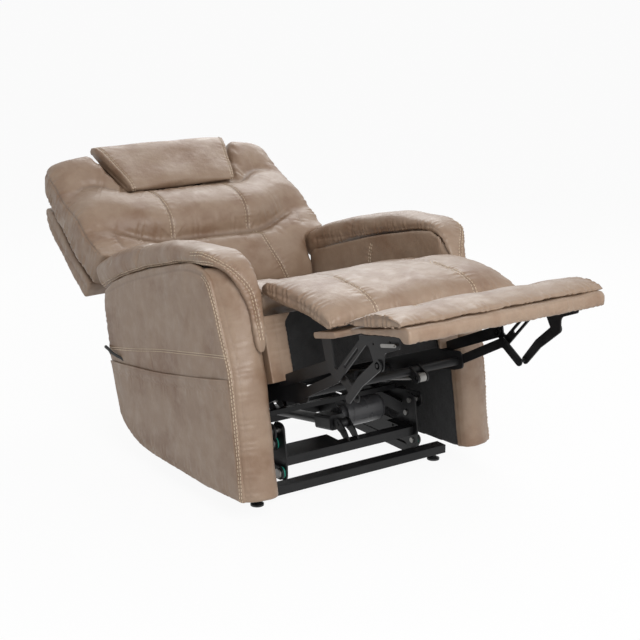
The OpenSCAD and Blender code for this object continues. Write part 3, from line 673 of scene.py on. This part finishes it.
def makeLead():
    path = fromBody(openCurve(lead["route"], 6))
    data = bpy.data.curves.new("handsetLead", "CURVE")
    data.dimensions = "3D"
    data.bevel_depth = lead["diameter"] / 2000
    data.bevel_resolution = 3
    data.use_fill_caps = True
    addLine(data, path)
    obj = placed("handsetLead", data)
    data.materials.append(finish["lead_rubber"])
    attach(obj, "chair_body")
    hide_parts("handset_lead")


makeLead()

# arms: outlines are (y, z) in millimetres on the tilting body
arm = {
    "front": [
        (-108, -150), (-119, 177), (-108, 242), (-92, 305), (-78, 365), (-66, 410), (-54, 450),
        (-36, 472), (0, 486),
    ],
    "top": [(40, 493), (156, 486), (272, 476), (430, 454), (535, 430)],
    "back": [(598, 401), (606, 342), (600, 250), (600, 195), (588, 98), (576, 40), (553, -1), (496, -44)],
    "low": [(406, -74), (262, -100), (127, -123), (-3, -139)],
    "outer": 436.6,
    "inner": 417.0,
    "liningIn": 322.3,
    "liningOut": 334.0,
    "frontOut": 428.0,
    "faceBack": -86.0,
    "faceGrid": (58, 15),  # rings up the face and points across it
    "face": [  # z, then y of the front at its inner and outer edge
        (-149, -131, -111), (-40, -130, -118), (90, -131, -121), (177, -130, -122),
        (242, -128, -111), (300, -127, -96), (360, -127, -81), (405, -126, -69), (430, -120, -60),
        (448, -106, -50), (460, -96, -44), (478, -84, -36),
    ],
    "swell": 10.0,
    "swellPower": 0.7,
    "curl": 30.0,  # how far the inner edge rolls back, over this share of the width
    "curlShare": 0.36,
    "lean": 1.6,  # power of the slant from the inner edge to the outer one
    "leatherTo": 215,  # the lining is leather above this height and black cloth below
    "sideCut": (6.0, 3),  # each cut is a voxel size and smoothing turns
    "frontCut": (5.0, 3),
    "liningCut": (4.6, 2),
    "sideRipple": (1.2, 190),  # and each ripple a depth and a size
    "frontRipple": (1.0, 150),
    "liningRipple": (0.8, 160),
}


def makeArmSide(side):
    outline = arm["front"] + arm["top"] + arm["back"] + arm["low"]
    ends = sorted((side * arm["inner"], side * arm["outer"]))
    obj = rounded(prism(hands[side] + "ArmSide", fromBody, outline, *ends), *arm["sideCut"])
    refine(ripple(obj, *arm["sideRipple"], 11 if side < 0 else 12))
    x = side * 437
    front = [(-102, -144), (-111, 20), (-114, 177), (-103, 242), (-87, 305)]
    front += [(-73, 365), (-60, 408), (-48, 440), (-26, 458)]
    tack = [(327, 234), (324, 214), (322, 190)]
    hem = [(592, 228), (440, 232), (282, 240), (90, 244), (-98, 246)]
    rear = [(590, 390), (594, 342), (589, 250), (588, 195), (577, 98), (565, 42), (545, 4)]
    underPad = [(595, 392), (430, 432), (272, 454), (80, 474), (-20, 462)]
    rows = [
        row(fromBody, at(x, front), 2.2, 5, 3.6, gather=(1.0, 24, 24)),
        row(fromBody, at(x, tack), 1.4, 3),
        row(fromBody, at(x, hem), 1.6, 4, 2.6),
        row(fromBody, at(x, rear), 2.0, 4, gather=(1.5, 34, 30)),
        row(fromBody, at(x, underPad), 2.5, 7),
    ]
    settle(obj, "chair_body", [hands[side] + "_arm_panel"], rows)


def makeArmFront(side):
    table = np.array(arm["face"], float)
    a, b = arm["liningIn"], arm["frontOut"]
    up, over = arm["faceGrid"]
    u = np.linspace(0, 1, over)
    swell = arm["swell"] * np.sin(np.pi * u) ** arm["swellPower"]
    curl = arm["curl"] * (1 - np.sqrt(1 - np.clip(1 - u / arm["curlShare"], 0, 1) ** 2))
    rings = []
    for z in np.linspace(table[0, 0], table[-1, 0], up):
        inner, outer = curveThrough(table[:, [0, 1]], z), curveThrough(table[:, [0, 2]], z)
        ring = [(a, arm["faceBack"])]
        for t, s, c in zip(u, swell, curl):
            ring.append((a + (b - a - 6) * t, inner + (outer - inner) * t ** arm["lean"] - s + c))
        ring += [(b, outer + 7), (b, max(outer + 22, -92))]
        ring.append((arm["liningOut"] + 0.8, arm["faceBack"]))
        rings.append(fromBody([(side * x, y, z) for x, y in ring]))
    obj = rounded(closedTube(rings, hands[side] + "ArmFront"), *arm["frontCut"])
    refine(ripple(obj, *arm["frontRipple"], 21 if side < 0 else 22))
    edge = [(-117, -140), (-124, 20), (-127, 177), (-118, 242)]
    edge += [(-104, 300), (-89, 360), (-76, 405), (-60, 440)]
    inner = [(-100, z) for z in (-140, 0, 120, 240)]
    rows = [
        row(fromBody, at(side * 413, edge), 1.0, 5, gather=(1.2, 30, 22)),
        row(fromBody, at(side * 323, inner), 1.2, 4),
    ]
    settle(obj, "chair_body", [hands[side] + "_arm_front"], rows)


def makeLinings():
    outline = [(-92, -148), (-92, 466), (-50, 492)] + arm["top"][:-1]
    outline += [(535, 440), (575, 436), (600, 424)] + arm["back"][1:] + arm["low"]
    parts = []
    for side in (-1, 1):
        ends = sorted((side * arm["liningIn"], side * arm["liningOut"]))
        parts.append(rounded(prism("lining", fromBody, outline, *ends), *arm["liningCut"]))
    seam = [(271, 240), (269, 363), (264, 416), (252, 450)]
    rows = mirrored(322, fromBody, seam, 2.2, 5, 4.0, gather=(1.5, 30, 24))
    obj = ripple(joined("armLinings", parts), *arm["liningRipple"], 31)
    settle(obj, "chair_body", ["arm_linings"], rows)
    obj.data.materials.append(finish["dust_cloth"])
    spot = intoBody(pointsOf(obj.data.polygons, "center"))
    dark = (spot[:, 2] < arm["leatherTo"]) & (np.abs(spot[:, 0]) < 329)
    obj.data.polygons.foreach_set("material_index", dark.astype(int))


armPad = {
    # y, z, height above, depth below inside and outside, inner and outer edge
    "stations": [
        (646, 448, 14, 22, 22, 345, 414),
        (640, 450, 28, 44, 46, 328, 430),
        (624, 455, 36, 56, 60, 321, 437),
        (535, 473, 42, 52, 54, 319, 440),
        (430, 487, 44, 41, 41, 319, 440),
        (300, 500, 45, 34, 34, 319, 440),
        (156, 508, 41, 29, 29, 319, 440),
        (50, 509, 31, 23, 25, 319, 440),
        (-30, 504, 24, 18, 28, 319, 438),
        (-76, 491, 17, 15, 24, 319, 430),
        (-104, 468, 12, 13, 18, 319, 412),
        (-121, 436, 11, 12, 15, 320, 394),
        (-131, 405, 12, 12, 14, 321, 384),
        (-134, 370, 12, 12, 14, 322, 375),
        (-136, 330, 14, 13, 14, 323, 371),
        (-138, 296, 16, 12, 13, 325, 368),
        (-139, 262, 15, 10, 11, 331, 363),
        (-140, 244, 8, 5, 6, 338, 356),
    ],
    "squareness": 0.6,
    "cut": (5.5, 2, 3.5),  # a voxel size, smoothing turns and a shrink
    "cap": 7.0,  # the most it swells by
    "ripple": (1.8, 120),  # a depth and a size
    "fill": 0.75,
}


def makeArmPad(side):
    keys = np.array(armPad["stations"], float)
    index = np.arange(len(keys))
    fine = np.linspace(0, len(keys) - 1, 120)
    columns = [curveThrough(np.stack([index, keys[:, k]], 1), fine) for k in range(7)]
    stations = np.stack(columns, 1)
    run = np.gradient(stations[:, :2], axis=0)
    run /= np.linalg.norm(run, axis=1)[:, None]
    angle = np.linspace(0, 2 * np.pi, 48, endpoint=False)
    p, q = (np.sign(v) * np.abs(v) ** armPad["squareness"] for v in (np.cos(angle), np.sin(angle)))
    rings = []
    for (y, z, top, lowIn, lowOut, xIn, xOut), (dy, dz) in zip(stations, run):
        low = lowIn + (lowOut - lowIn) * (p + 1) / 2
        h = np.where(q > 0, q * top, q * low)
        x = (xIn + xOut) / 2 + p * (xOut - xIn) / 2
        rings.append(fromBody(np.stack([side * x, y + dz * h, z - dy * h], 1)))
    obj = rounded(closedTube(rings, hands[side] + "ArmPad"), *armPad["cut"])
    low = [(618, 408), (535, 430), (369, 461), (200, 480), (83, 490), (-20, 494)]
    low = at(439, low) + [(436, -70, 488)]
    lip = [(439, 31, 519), (434, -60, 522), (412, -112, 508), (384, -150, 474)]
    lip += [(362, -160, 430), (352, -164, 380), (348, -168, 335), (347, -170, 285)]
    cross = [(320, 352, 484), (324, 342, 520), (345, 336, 541), (380, 333, 546)]
    cross += [(420, 331, 540), (437, 333, 520), (440, 348, 484)]
    inner = [(320, 560, 470), (318, 430, 476), (318, 300, 486), (318, 156, 496)]
    inner += [(318, 40, 503), (320, -60, 508), (321, -112, 480), (323, -128, 420)]
    rows = [
        row(fromBody, sided(low, side), 2.4, 5, 3.4, gather=(1.3, 22, 27)),
        row(fromBody, sided(lip, side), 2.8, 6, 3.6, gather=(2.5, 22, 18)),
        row(fromBody, sided(cross, side), 2.5, 5, gather=(1.5, 26, 21)),
        row(fromBody, sided(inner, side), 2.4, 6, gather=(2.0, 24, 24)),
    ]
    node = hands[side] + "_arm_pad"
    upholster(obj, armPad, "chair_body", [node], rows, 41 if side < 0 else 42)


pocket = {
    "lip": [(596, 191), (440, 183), (282, 177), (90, 180), (-104, 186)],
    "low": [(576, 60), (560, 12), (492, -40), (406, -70), (262, -96), (127, -119), (-3, -136), (-99, -145)],
    "inside": 437.4,
    "thick": 2.4,
    "sag": 5.0,
    "hem": 1.8,
    "across": 120,
    "down": 40,
}


def makePocket():
    across, down = pocket["across"], pocket["down"]
    lip = evenly(openCurve(pocket["lip"]), 1)
    low = evenly(openCurve(pocket["low"]), 1)
    verts = []
    for i in range(across + 1):
        u = i / across
        a, b = lip[int(u * (len(lip) - 1))], low[int(u * (len(low) - 1))]
        for j in range(down + 1):
            v = j / down
            y, z = a + (b - a) * v
            edge = min(1, 9 * u) * min(1, 9 * (1 - u)) * min(1, 5 * (1 - v))
            bulge = pocket["sag"] * edge * (1 - 0.6 * v) * (0.75 + 0.25 * math.sin(7 * u + 1))
            hem = pocket["hem"] * math.exp(-(((v - 0.03) / 0.03) ** 2))
            verts.append((-(pocket["inside"] + bulge + hem), y, z))
    obj = clothSheet("sidePocket", fromBody(verts), across, down, 0, pocket["thick"], -1)
    x = -446
    top = [(590, 184), (440, 176), (282, 170), (90, 173), (-101, 179)]
    hem = [(583, 157), (229, 145), (-100, 154)]
    bottom = [(560, 60), (540, 14), (480, -30), (262, -84), (0, -126), (-94, -136)]
    rows = [
        row(fromBody, at(x, top), 1.2, 3),
        row(fromBody, at(x, hem), 1.6, 4, gather=(1.0, 26, 30)),
        row(fromBody, at(x, bottom), 1.5, 5, gather=(1.5, 30, 32)),
    ]
    settle(obj, "chair_body", ["side_pocket"], rows)


for make in (makeArmSide, makeArmFront):
    for side in hands:
        make(side)
makeLinings()
for side in hands:
    makeArmPad(side)
makePocket()

# seat: outlines are (y, z) in millimetres on the rising seat
seatCushion = {
    "outline": [
        (300, 293), (60, 293), (-100, 294), (-137, 316), (-140, 350), (-118, 376), (20, 383),
        (220, 382), (400, 376), (474, 358), (504, 332), (500, 296),
    ],
    "steps": 6,
    "half": 311,
    "cut": (7.8, 6, 4.0),
    "cap": 10.0,
    "ripple": (2.0, 140),
    "fill": 0.7,
    "seam": 180,
}


def makeSeatCushion():
    s = seatCushion
    top = [(-140, 350), (-110, 380), (100, 386), (300, 384), (440, 372)]
    rows = mirrored(s["seam"], fromSeat, top, 4, 8, 4.2, gather=(1.5, 30, 30))
    rows.append(row(fromSeat, [(-306, -136, 352), (0, -142, 354), (306, -136, 352)], 3, 6, 0.0))
    upholster(profile("seatCushion", fromSeat, s), s, "seat", ["seat_cushion"], rows, 51)


chaise = {
    "outline": [
        (-149, 344), (-152, 372), (-186, 382), (-245, 367), (-303, 343), (-380, 306), (-436, 272),
        (-458, 248), (-446, 230), (-400, 246), (-330, 274), (-262, 298), (-190, 325),
    ],
    "steps": 8,
    "half": 318,
    "cut": (5.5, 4, 4.5),
    "cap": 12.0,
    "ripple": (2.2, 130),
    "fill": 0.7,
    "crown": 30.0,
    "seam": 165,
}


def makeChaise():
    c = chaise
    obj = profile("chaisePad", fromSeat, c)
    spot = intoSeat(coordsOf(obj))
    up = fromSeat([(0, 0, 1)])[0] - fromSeat([(0, 0, 0)])[0]
    top = smooth(normalsOf(obj) @ (up / np.linalg.norm(up)) / 0.5)
    lift = np.interp(-spot[:, 1], [150, 200, 300, 400, 440, 470], [0, 0.1, 0.7, 1, 0.8, 0.2])
    lift *= top * np.clip(1 - np.abs(spot[:, 0] / c["half"]) ** 6, 0, 1)
    setCoords(obj, coordsOf(obj) + up * (lift * c["crown"])[:, None])
    rows = []
    for x in (-c["seam"], c["seam"]):
        back = at(x, [(-150, 372), (-186, 388), (-245, 378), (-290, 368)])
        front = at(x, [(-290, 368), (-340, 355), (-390, 334), (-440, 300), (-462, 262)])
        rows.append(row(fromSeat, back, 4, 9, gather=(1.5, 36, 32)))
        rows.append(row(fromSeat, front, 3.6, 7, 4.2, gather=(1.5, 30, 26)))
    edge = [(-152, 358), (-200, 352), (-303, 318), (-380, 284), (-444, 246)]
    rows += mirrored(c["half"], fromSeat, edge, 3, 6, gather=(3, 34, 24))
    lip = [(-312, -455, 244), (0, -460, 246), (312, -455, 244)]
    rows.append(row(fromSeat, lip, 3, 6, gather=(3, 40, 30)))
    upholster(obj, c, "chaise", ["chaise_pad"], rows, 61)


footPad = {
    "outline": [
        (-531, 240), (-546, 252), (-600, 259), (-659, 263), (-712, 254), (-752, 236), (-764, 220),
        (-752, 212), (-700, 217), (-640, 223), (-580, 229),
    ],
    "steps": 8,
    "half": 330,
    "cut": (5.5, 3, 3.5),
    "cap": 11.0,
    "ripple": (1.8, 120),
    "fill": 0.75,
    "seam": 190,
}


def makeFootPad():
    f = footPad
    top = [(-538, 250), (-570, 263), (-620, 271), (-660, 276)]
    rows = mirrored(f["seam"], fromSeat, top, 3.5, 8, 4.2, gather=(3, 34, 26))
    edge = [(-536, 243), (-600, 248), (-680, 246), (-758, 226)]
    rows += mirrored(f["half"], fromSeat, edge, 3, 6, gather=(3, 30, 24))
    lip = [(-322, -764, 224), (0, -767, 225), (322, -764, 224)]
    rows.append(row(fromSeat, lip, 2.5, 6, gather=(2.5, 30, 28)))
    upholster(profile("footrestPad", fromSeat, f), f, "footrest", ["footrest_pad"], rows, 71)


footBoard = {
    "hinge": (-531.5, 205),
    "turn": 5.8,
    "outline": [  # from the hinge
        (-3, 26), (-3, 14), (-120, 11), (-196, 10), (-212, -5), (-234, -6), (-240, 8), (-238, 27),
        (-228, 33), (-190, 33), (-90, 28),
    ],
    "half": 314,
    "cut": (4.6, 3),
}


def fromBoard(points):
    return fromSeat(turned(np.array(points, float), footBoard["turn"]) + (0, *footBoard["hinge"]))


def makeFootBoard():
    b = footBoard
    obj = rounded(prism("footrestBoard", fromBoard, b["outline"], -b["half"], b["half"]), *b["cut"])
    ripple(obj, 0.8, 70, 75)
    under = [(x, -222, -5) for x in (-306, -100, 100, 306)]
    lip = [(x, -234, 13) for x in (-306, -150, 0, 150, 306)]
    rows = [
        row(fromBoard, under, 1.0, 5, gather=(1.4, 30, 17)),
        row(fromBoard, lip, 0.8, 4, gather=(1.8, 24, 15)),
    ]
    rows += mirrored(285, fromBoard, [(-239, 22), (-238, 4), (-225, -6)], 3, 4)
    settle(obj, "footrest", ["footrest_board"], rows)


# the upholstered panels under the seat's front edge: outlines are (x, z)
endPanel = {
    "outline": [(252, 110), (252, 266), (228, 292), (321.3, 292), (321.3, 110)],
    "return": [(315.5, 110), (321.3, 110), (321.3, 292), (315.5, 292)],
    "back": -140.4,
    "deep": -114.0,
    "front": -150.0,
    "outlineCut": (3.6, 1),
    "returnCut": (3.2, 0),
}


def makeEndPanels():
    e = endPanel
    parts = []
    for side in (-1, 1):
        for shape, deep in (("return", "deep"), ("outline", "back")):
            outline = [(side * x, z) for x, z in e[shape]]
            part = prism(shape, fromSeat, outline, e["front"], e[deep], 1, False)
            parts.append(rounded(part, *e[shape + "Cut"]))
    seam = [(-151, 118), (-151, 280)]
    rows = mirrored(286, fromSeat, seam, 1.2, 4, gather=(1.5, 30, 22))
    obj = ripple(joined("frontEndPanels", parts), 0.8, 90, 81)
    settle(obj, "seat", ["front_end_panels"], rows)


fabric = {
    "half": 250,
    "low": 115,
    "high": 290,
    "y": -136.5,
    "slack": 5.0,
    "thick": 1.2,
    "across": 60,
    "down": 24,
}


def makeFrontFabric():
    f = fabric
    verts = []
    for i in range(f["across"] + 1):
        x = f["half"] * (2 * i / f["across"] - 1)
        for j in range(f["down"] + 1):
            v = j / f["down"]
            fold = math.sin(math.pi * v) * (0.5 + 0.5 * math.sin(x / 31 + 2.2 * v)) * f["slack"]
            verts.append((x, f["y"] + fold, f["high"] + (f["low"] - f["high"]) * v))
    obj = clothSheet("frontFabric", fromSeat(verts), f["across"], f["down"], 1, f["thick"], 0)
    settle(obj, "seat", ["front_fabric"], slot="dust_cloth")


makeSeatCushion()
makeChaise()
makeFootPad()
makeFootBoard()
makeEndPanels()
makeFrontFabric()

# back: outlines are (y, z) in millimetres on the reclining back, tables (z, value)
headrest = {
    "outline": [
        (-178, 550), (-182, 640), (-186, 712), (-200, 736), (-224, 731), (-239, 704), (-240, 650),
        (-236, 590), (-231, 545), (-222, 516), (-206, 508), (-189, 520),
    ],
    "steps": 8,
    "half": 200,
    "flare": 0.24,
    "flareFrom": 526,
    "cut": (5.5, 3, 4.0),
    "cap": 9.0,
    "ripple": (2.0, 120),
    "fill": 0.65,
}


backPad = {
    "tucked": [  # the front along the middle, drawn in at the sewn rows
        (97, -115), (130, -150), (170, -172), (215, -200), (238, -208), (265, -200), (288, -182),
        (318, -220), (345, -239), (388, -248), (420, -245), (460, -234), (486, -222), (500, -215),
        (512, -207), (535, -204), (570, -212), (620, -227), (670, -232), (700, -224), (718, -198),
        (728, -150),
    ],
    "full": [  # and without the rows
        (97, -115), (130, -150), (170, -172), (215, -200), (238, -208), (290, -210), (345, -236),
        (388, -256), (420, -248), (460, -230), (508, -210), (570, -214), (620, -227), (670, -232),
        (700, -224), (718, -198), (728, -150),
    ],
    "edge": [
        (97, -95), (160, -150), (233, -195), (340, -180), (475, -172), (560, -168), (640, -162),
        (700, -152), (728, -128),
    ],
    "rear": [
        (97, -80), (130, -54), (180, -50), (284, -60), (400, -66), (529, -76), (660, -92),
        (704, -108), (728, -118),
    ],
    "half": [
        (97, 306), (110, 317), (200, 320), (224, 322), (236, 380), (247, 410), (259, 422),
        (300, 426), (480, 427), (640, 424), (690, 415), (715, 396), (728, 372),
    ],
    "round": 14,  # radius of the front's edges
    "bed": -172.0,  # how far the front lies back under the headrest
    "upperRow": 508,
    "lowerRow": 288,
    "upperRise": 62.0,  # how much higher each row ends at the wings
    "lowerRise": 90.0,
    "cut": (7.0, 3, 5.0),
    "cap": 14.0,
    "ripple": (2.6, 150),
    "fill": 0.65,
}


def tuckRise(x):
    upper = backPad["upperRise"] * smooth((x - 195) / 120) * (1 - 0.8 * smooth((x - 335) / 90))
    return upper, backPad["lowerRise"] * smooth((x - 150) / 278)


def flared(z):
    # half the headrest's width at this height
    return headrest["half"] * (1 + headrest["flare"] * (z - headrest["flareFrom"]) / headrest["half"])


def backFace(x, z):
    b = backPad
    x, z = np.abs(np.asarray(x, float)), np.asarray(z, float)
    upper, lower = tuckRise(x)
    lowerShare = np.interp(z, [97, 235, 288, 400, 508, 722], [0, 0.25, 1, 0.5, 0, 0])
    upperShare = np.interp(z, [288, 420, 508, 600, 722], [0, 0.5, 1, 0.5, 0])
    level = z - lower * lowerShare - upper * upperShare
    depth = 1 - 0.7 * smooth((x - 230) / 170)
    centre = depth * curveThrough(b["tucked"], level) + (1 - depth) * curveThrough(b["full"], level)
    edge = curveThrough(b["edge"], z)
    y = edge + (centre - edge) * np.sqrt(np.clip(1 - (x / 432) ** 4, 0, 1))
    under = (1 - smooth((x - flared(z) - 2) / 24)) * smooth((z - b["upperRow"]) / 16)
    return y + (b["bed"] - y) * under


def onBack(points):
    return fromBack([(x, float(backFace(x, z)), z) for x, z in points])


def backRows():
    b = backPad
    upper, lower = [], []
    for x in np.linspace(-1, 1, 41):
        upper.append((x * 400, b["upperRow"] + tuckRise(abs(x) * 400)[0]))
        lower.append((x * 360, b["lowerRow"] + tuckRise(abs(x) * 360)[1]))
    rows = [
        row(onBack, upper, 5, 13, gather=(2.5, 60, 40), hold=20, fade=110),
        row(onBack, lower, 6, 13, gather=(3, 60, 42), hold=20, fade=120),
    ]
    for s in (-1, 1):
        middle = [(s * 140, z) for z in (500, 470, 430, 388, 345, 310, 294)]
        lumbar = [(s * 158, 284), (s * 160, 215), (s * 180, 150), (s * 205, 100)]
        wing = [(s * 345, 350), (s * 337, 300), (s * 330, 256)]
        levels = (268, 340, 420, 500, 580, 650, 700)
        edge = [(s * 424, float(backFace(424, z)) + 8, z) for z in levels]
        rear = [(s * 424, float(curveThrough(b["rear"], z)) - 12, z) for z in (268, 400, 529, 650)]
        rows += [
            row(onBack, middle, 5, 8, 4.2, gather=(1.2, 26, 24)),
            row(onBack, lumbar, 4, 8, 4.2, gather=(1.4, 28, 26)),
            row(onBack, wing, 3, 7, gather=(1.5, 30, 30), fade=30),
            row(fromBack, edge, 4.5, 4.5, gather=(2.8, 32, 32)),
            row(fromBack, rear, 3, 6, gather=(4.5, 46, 27)),
        ]
    return rows


def makeBackPad():
    b = backPad
    halves = np.array(b["half"], float).T
    u = np.sin(np.linspace(-1, 1, 61) * math.pi / 2)
    heights = np.linspace(97, 226, 20), np.linspace(228, 268, 20), np.linspace(272, 728, 64)
    rings = []
    for z in np.concatenate(heights):
        half, rear = float(np.interp(z, *halves)), float(curveThrough(b["rear"], z))
        x = u * half
        gap = np.clip(1 - (half - np.abs(x)) / b["round"], 0, 1)
        y = np.minimum(backFace(x, z) + b["round"] * (1 - np.sqrt(1 - gap**2)), rear - 6)
        behind = [(half, rear - 3), (half * 0.97, rear), (0, rear)]
        behind += [(-half * 0.97, rear), (-half, rear - 3)]
        rings.append(fromBack([(px, py, z) for px, py in list(zip(x, y)) + behind]))
    obj = rounded(closedTube(rings, "backPad"), *b["cut"])
    nodes = ["lumbar_cushion", "middle_cushion", "top_cushion"]
    upholster(obj, b, "back", nodes, backRows(), 91)


def fromHeadrest(points):
    return fromBack([(x * flared(z) / headrest["half"], y, z) for x, y, z in points])


def makeHeadrest():
    h = headrest
    seam = [(-205, 508), (-228, 530), (-238, 590), (-244, 650), (-244, 704), (-226, 734)]
    rows = []
    for side in (-1, 1):
        x = side * h["half"]
        rows.append(row(fromHeadrest, at(x - 13 * side, seam), 2.4, 5, 3.0, gather=(1.0, 20, 24)))
        rows.append(row(fromHeadrest, [(x, -200, z) for z in (540, 600, 660, 715)], 1.5, 5))
    obj = profile("headrestPad", fromHeadrest, h)
    upholster(obj, h, "headrest", ["headrest_panel"], rows, 101)


backCover = {
    "upper": [
        (6, 288), (22, 300), (16, 400), (6, 480), (-12, 590), (-38, 636), (-62, 640), (-78, 590),
        (-60, 480), (-52, 400), (-48, 300), (-30, 286),
    ],
    "lower": [(-7, 174), (22, 192), (26, 230), (20, 276), (-4, 282), (-40, 276), (-42, 230), (-34, 184)],
    "upperHalf": 412,
    "lowerHalf": 310,
    "upperCut": (6.0, 5),
    "lowerCut": (6.0, 4),
}


def makeBackCover():
    c = backCover
    parts = []
    for name in ("upper", "lower"):
        half = c[name + "Half"]
        part = prism(name, fromBack, closedCurve(c[name], 6), -half, half, 4)
        parts.append(rounded(part, *c[name + "Cut"]))
    obj = ripple(joined("backCover", parts), 1.6, 170, 111)
    side = [(-18, 300), (-18, 400), (-18, 480), (-40, 590), (-52, 630)]
    rear = [(24, 310), (18, 400), (8, 480), (-10, 590)]
    rows = []
    for s in (-1, 1):
        rows.append(row(fromBack, at(s * 404, side), 3, 6, gather=(3, 34, 24)))
        rows.append(row(fromBack, at(s * 392, rear), 2.5, 6, 4.0, gather=(2, 34, 26)))
    settle(obj, "back", ["back_shell"], rows)


makeBackPad()
makeHeadrest()
makeBackCover()

# stitches: sizes in metres
stitch = {"Pitch": 0.0105, "Length": 0.0064, "Radius": 0.00085}


def stitchTree():
    tree = bpy.data.node_groups.new("stitches", "GeometryNodeTree")
    face = tree.interface
    face.new_socket("Geometry", in_out="INPUT", socket_type="NodeSocketGeometry")
    for name, value in stitch.items():
        face.new_socket(name, in_out="INPUT", socket_type="NodeSocketFloat").default_value = value
    face.new_socket("Thread", in_out="INPUT", socket_type="NodeSocketMaterial")
    face.new_socket("Geometry", in_out="OUTPUT", socket_type="NodeSocketGeometry")

    given = tree.nodes.new("NodeGroupInput").outputs
    line = {"Curve": given["Geometry"], "Length": given["Pitch"]}
    points = addNode(tree, "CurveToPoints", line, mode="LENGTH").outputs
    size = {"Vertices": 6, "Depth": given["Length"], "Radius": given["Radius"]}
    bead = addNode(tree, "MeshCylinder", size, fill_type="NGON").outputs["Mesh"]
    spots = {"Points": points["Points"], "Rotation": points["Rotation"], "Instance": bead}
    spread = addNode(tree, "InstanceOnPoints", spots).outputs["Instances"]
    real = addNode(tree, "RealizeInstances", {"Geometry": spread}).outputs["Geometry"]
    paint = addNode(tree, "SetMaterial", {"Geometry": real, "Material": given["Thread"]})
    connect(tree, tree.nodes.new("NodeGroupOutput"), {"Geometry": paint.outputs["Geometry"]})
    return tree


def makeStitches():
    tree = stitchTree()
    sockets = {s.name: s.identifier for s in tree.interface.items_tree if s.in_out == "INPUT"}
    for body, lines in stitchLines.items():
        data = bpy.data.curves.new(body + "Rows", "CURVE")
        data.dimensions = "3D"
        for line in lines:
            addLine(data, line)
        source = placed(body + "Rows", data)
        nodes = source.modifiers.new("stitches", "NODES")
        nodes.node_group = tree
        for name, value in stitch.items():
            nodes[sockets[name]] = value
        nodes[sockets["Thread"]] = paleThread
        graph = bpy.context.evaluated_depsgraph_get()
        mesh = bpy.data.meshes.new_from_object(source.evaluated_get(graph))
        obj = placed(body + "Stitches", mesh)
        bpy.data.objects.remove(source)
        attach(obj, body)
        print(obj.name, len(mesh.polygons), "faces")


makeStitches()

# finishes on the frame's own nodes
slotOf = {part["node"]: part["material_slot"] for part in frame["record"]["subparts"]}
for node, obj in frame["nodes"].items():
    obj.data.materials.clear()
    obj.data.materials.append(finish[slotOf[node]])
print("nodes finished")

# studio
studio = {
    "floor": 40.0,  # half its width, in metres
    "floorColour": (0.86, 0.86, 0.86, 1),
    "glow": 0.93,  # how much of the seen floor is the plain white background
    "sky": 0.42,
    "aim": (0, 0, 0.45),
    "lamps": {  # place, width and power
        "key": ((-1.0, -3.4, 2.5), 2.2, 112),
        "fill": ((3.0, -2.2, 2.2), 2.4, 14),
        "top": ((1.4, 2.0, 2.4), 2.4, 44),
    },
}


def anyRay(tree, first, *others):
    # 1 on a ray of one of these kinds, else 0
    rays = addNode(tree, "LightPath").outputs
    seen = rays[first]
    for kind in others:
        seen = addNode(tree, "Math", {0: seen, 1: rays[kind]}, operation="MAXIMUM").outputs[0]
    return seen


def makeFloor():
    half = studio["floor"]
    corners = [(-half, -half, 0), (half, -half, 0), (half, half, 0), (-half, half, 0)]
    floor = meshPiece("floor", corners, [(0, 1, 2, 3)])
    mat, tree, shader = newFinish("paleFloor", 0.9)[:3]
    connect(tree, shader, {"Base Color": studio["floorColour"]})
    glow = addNode(tree, "Emission", {"Strength": 1.0})
    seen = anyRay(tree, "Is Camera Ray", "Is Glossy Ray")
    share = addNode(tree, "Math", {0: seen, 1: studio["glow"]}, operation="MULTIPLY").outputs[0]
    mix = addNode(tree, "MixShader", {0: share, 1: shader.outputs[0], 2: glow.outputs[0]})
    connect(tree, tree.nodes["Material Output"], {0: mix.outputs[0]})
    floor.data.materials.append(mat)


def makeSky():
    world = bpy.data.worlds.new("studio")
    bpy.context.scene.world = world
    world.use_nodes = True
    tree = world.node_tree
    tree.nodes.clear()
    white = (1, 1, 1, 1)
    soft = addNode(tree, "Background", {"Color": white, "Strength": studio["sky"]})
    plain = addNode(tree, "Background", {"Color": white, "Strength": 1.0})
    seen = anyRay(tree, "Is Camera Ray", "Is Glossy Ray", "Is Transmission Ray")
    mix = addNode(tree, "MixShader", {0: seen, 1: soft.outputs[0], 2: plain.outputs[0]})
    addNode(tree, "OutputWorld", {0: mix.outputs[0]})


def makeLamps():
    for name, (place, size, power) in studio["lamps"].items():
        data = bpy.data.lights.new(name, "AREA")
        data.shape = "DISK"
        data.size = size
        data.energy = power
        lamp = placed(name, data)
        lamp.location = place
        lamp.rotation_euler = (Vector(studio["aim"]) - Vector(place)).to_track_quat("-Z", "Y").to_euler()


makeFloor()
makeSky()
makeLamps()
bpy.context.scene.view_settings.view_transform = "Standard"
print("studio ready")
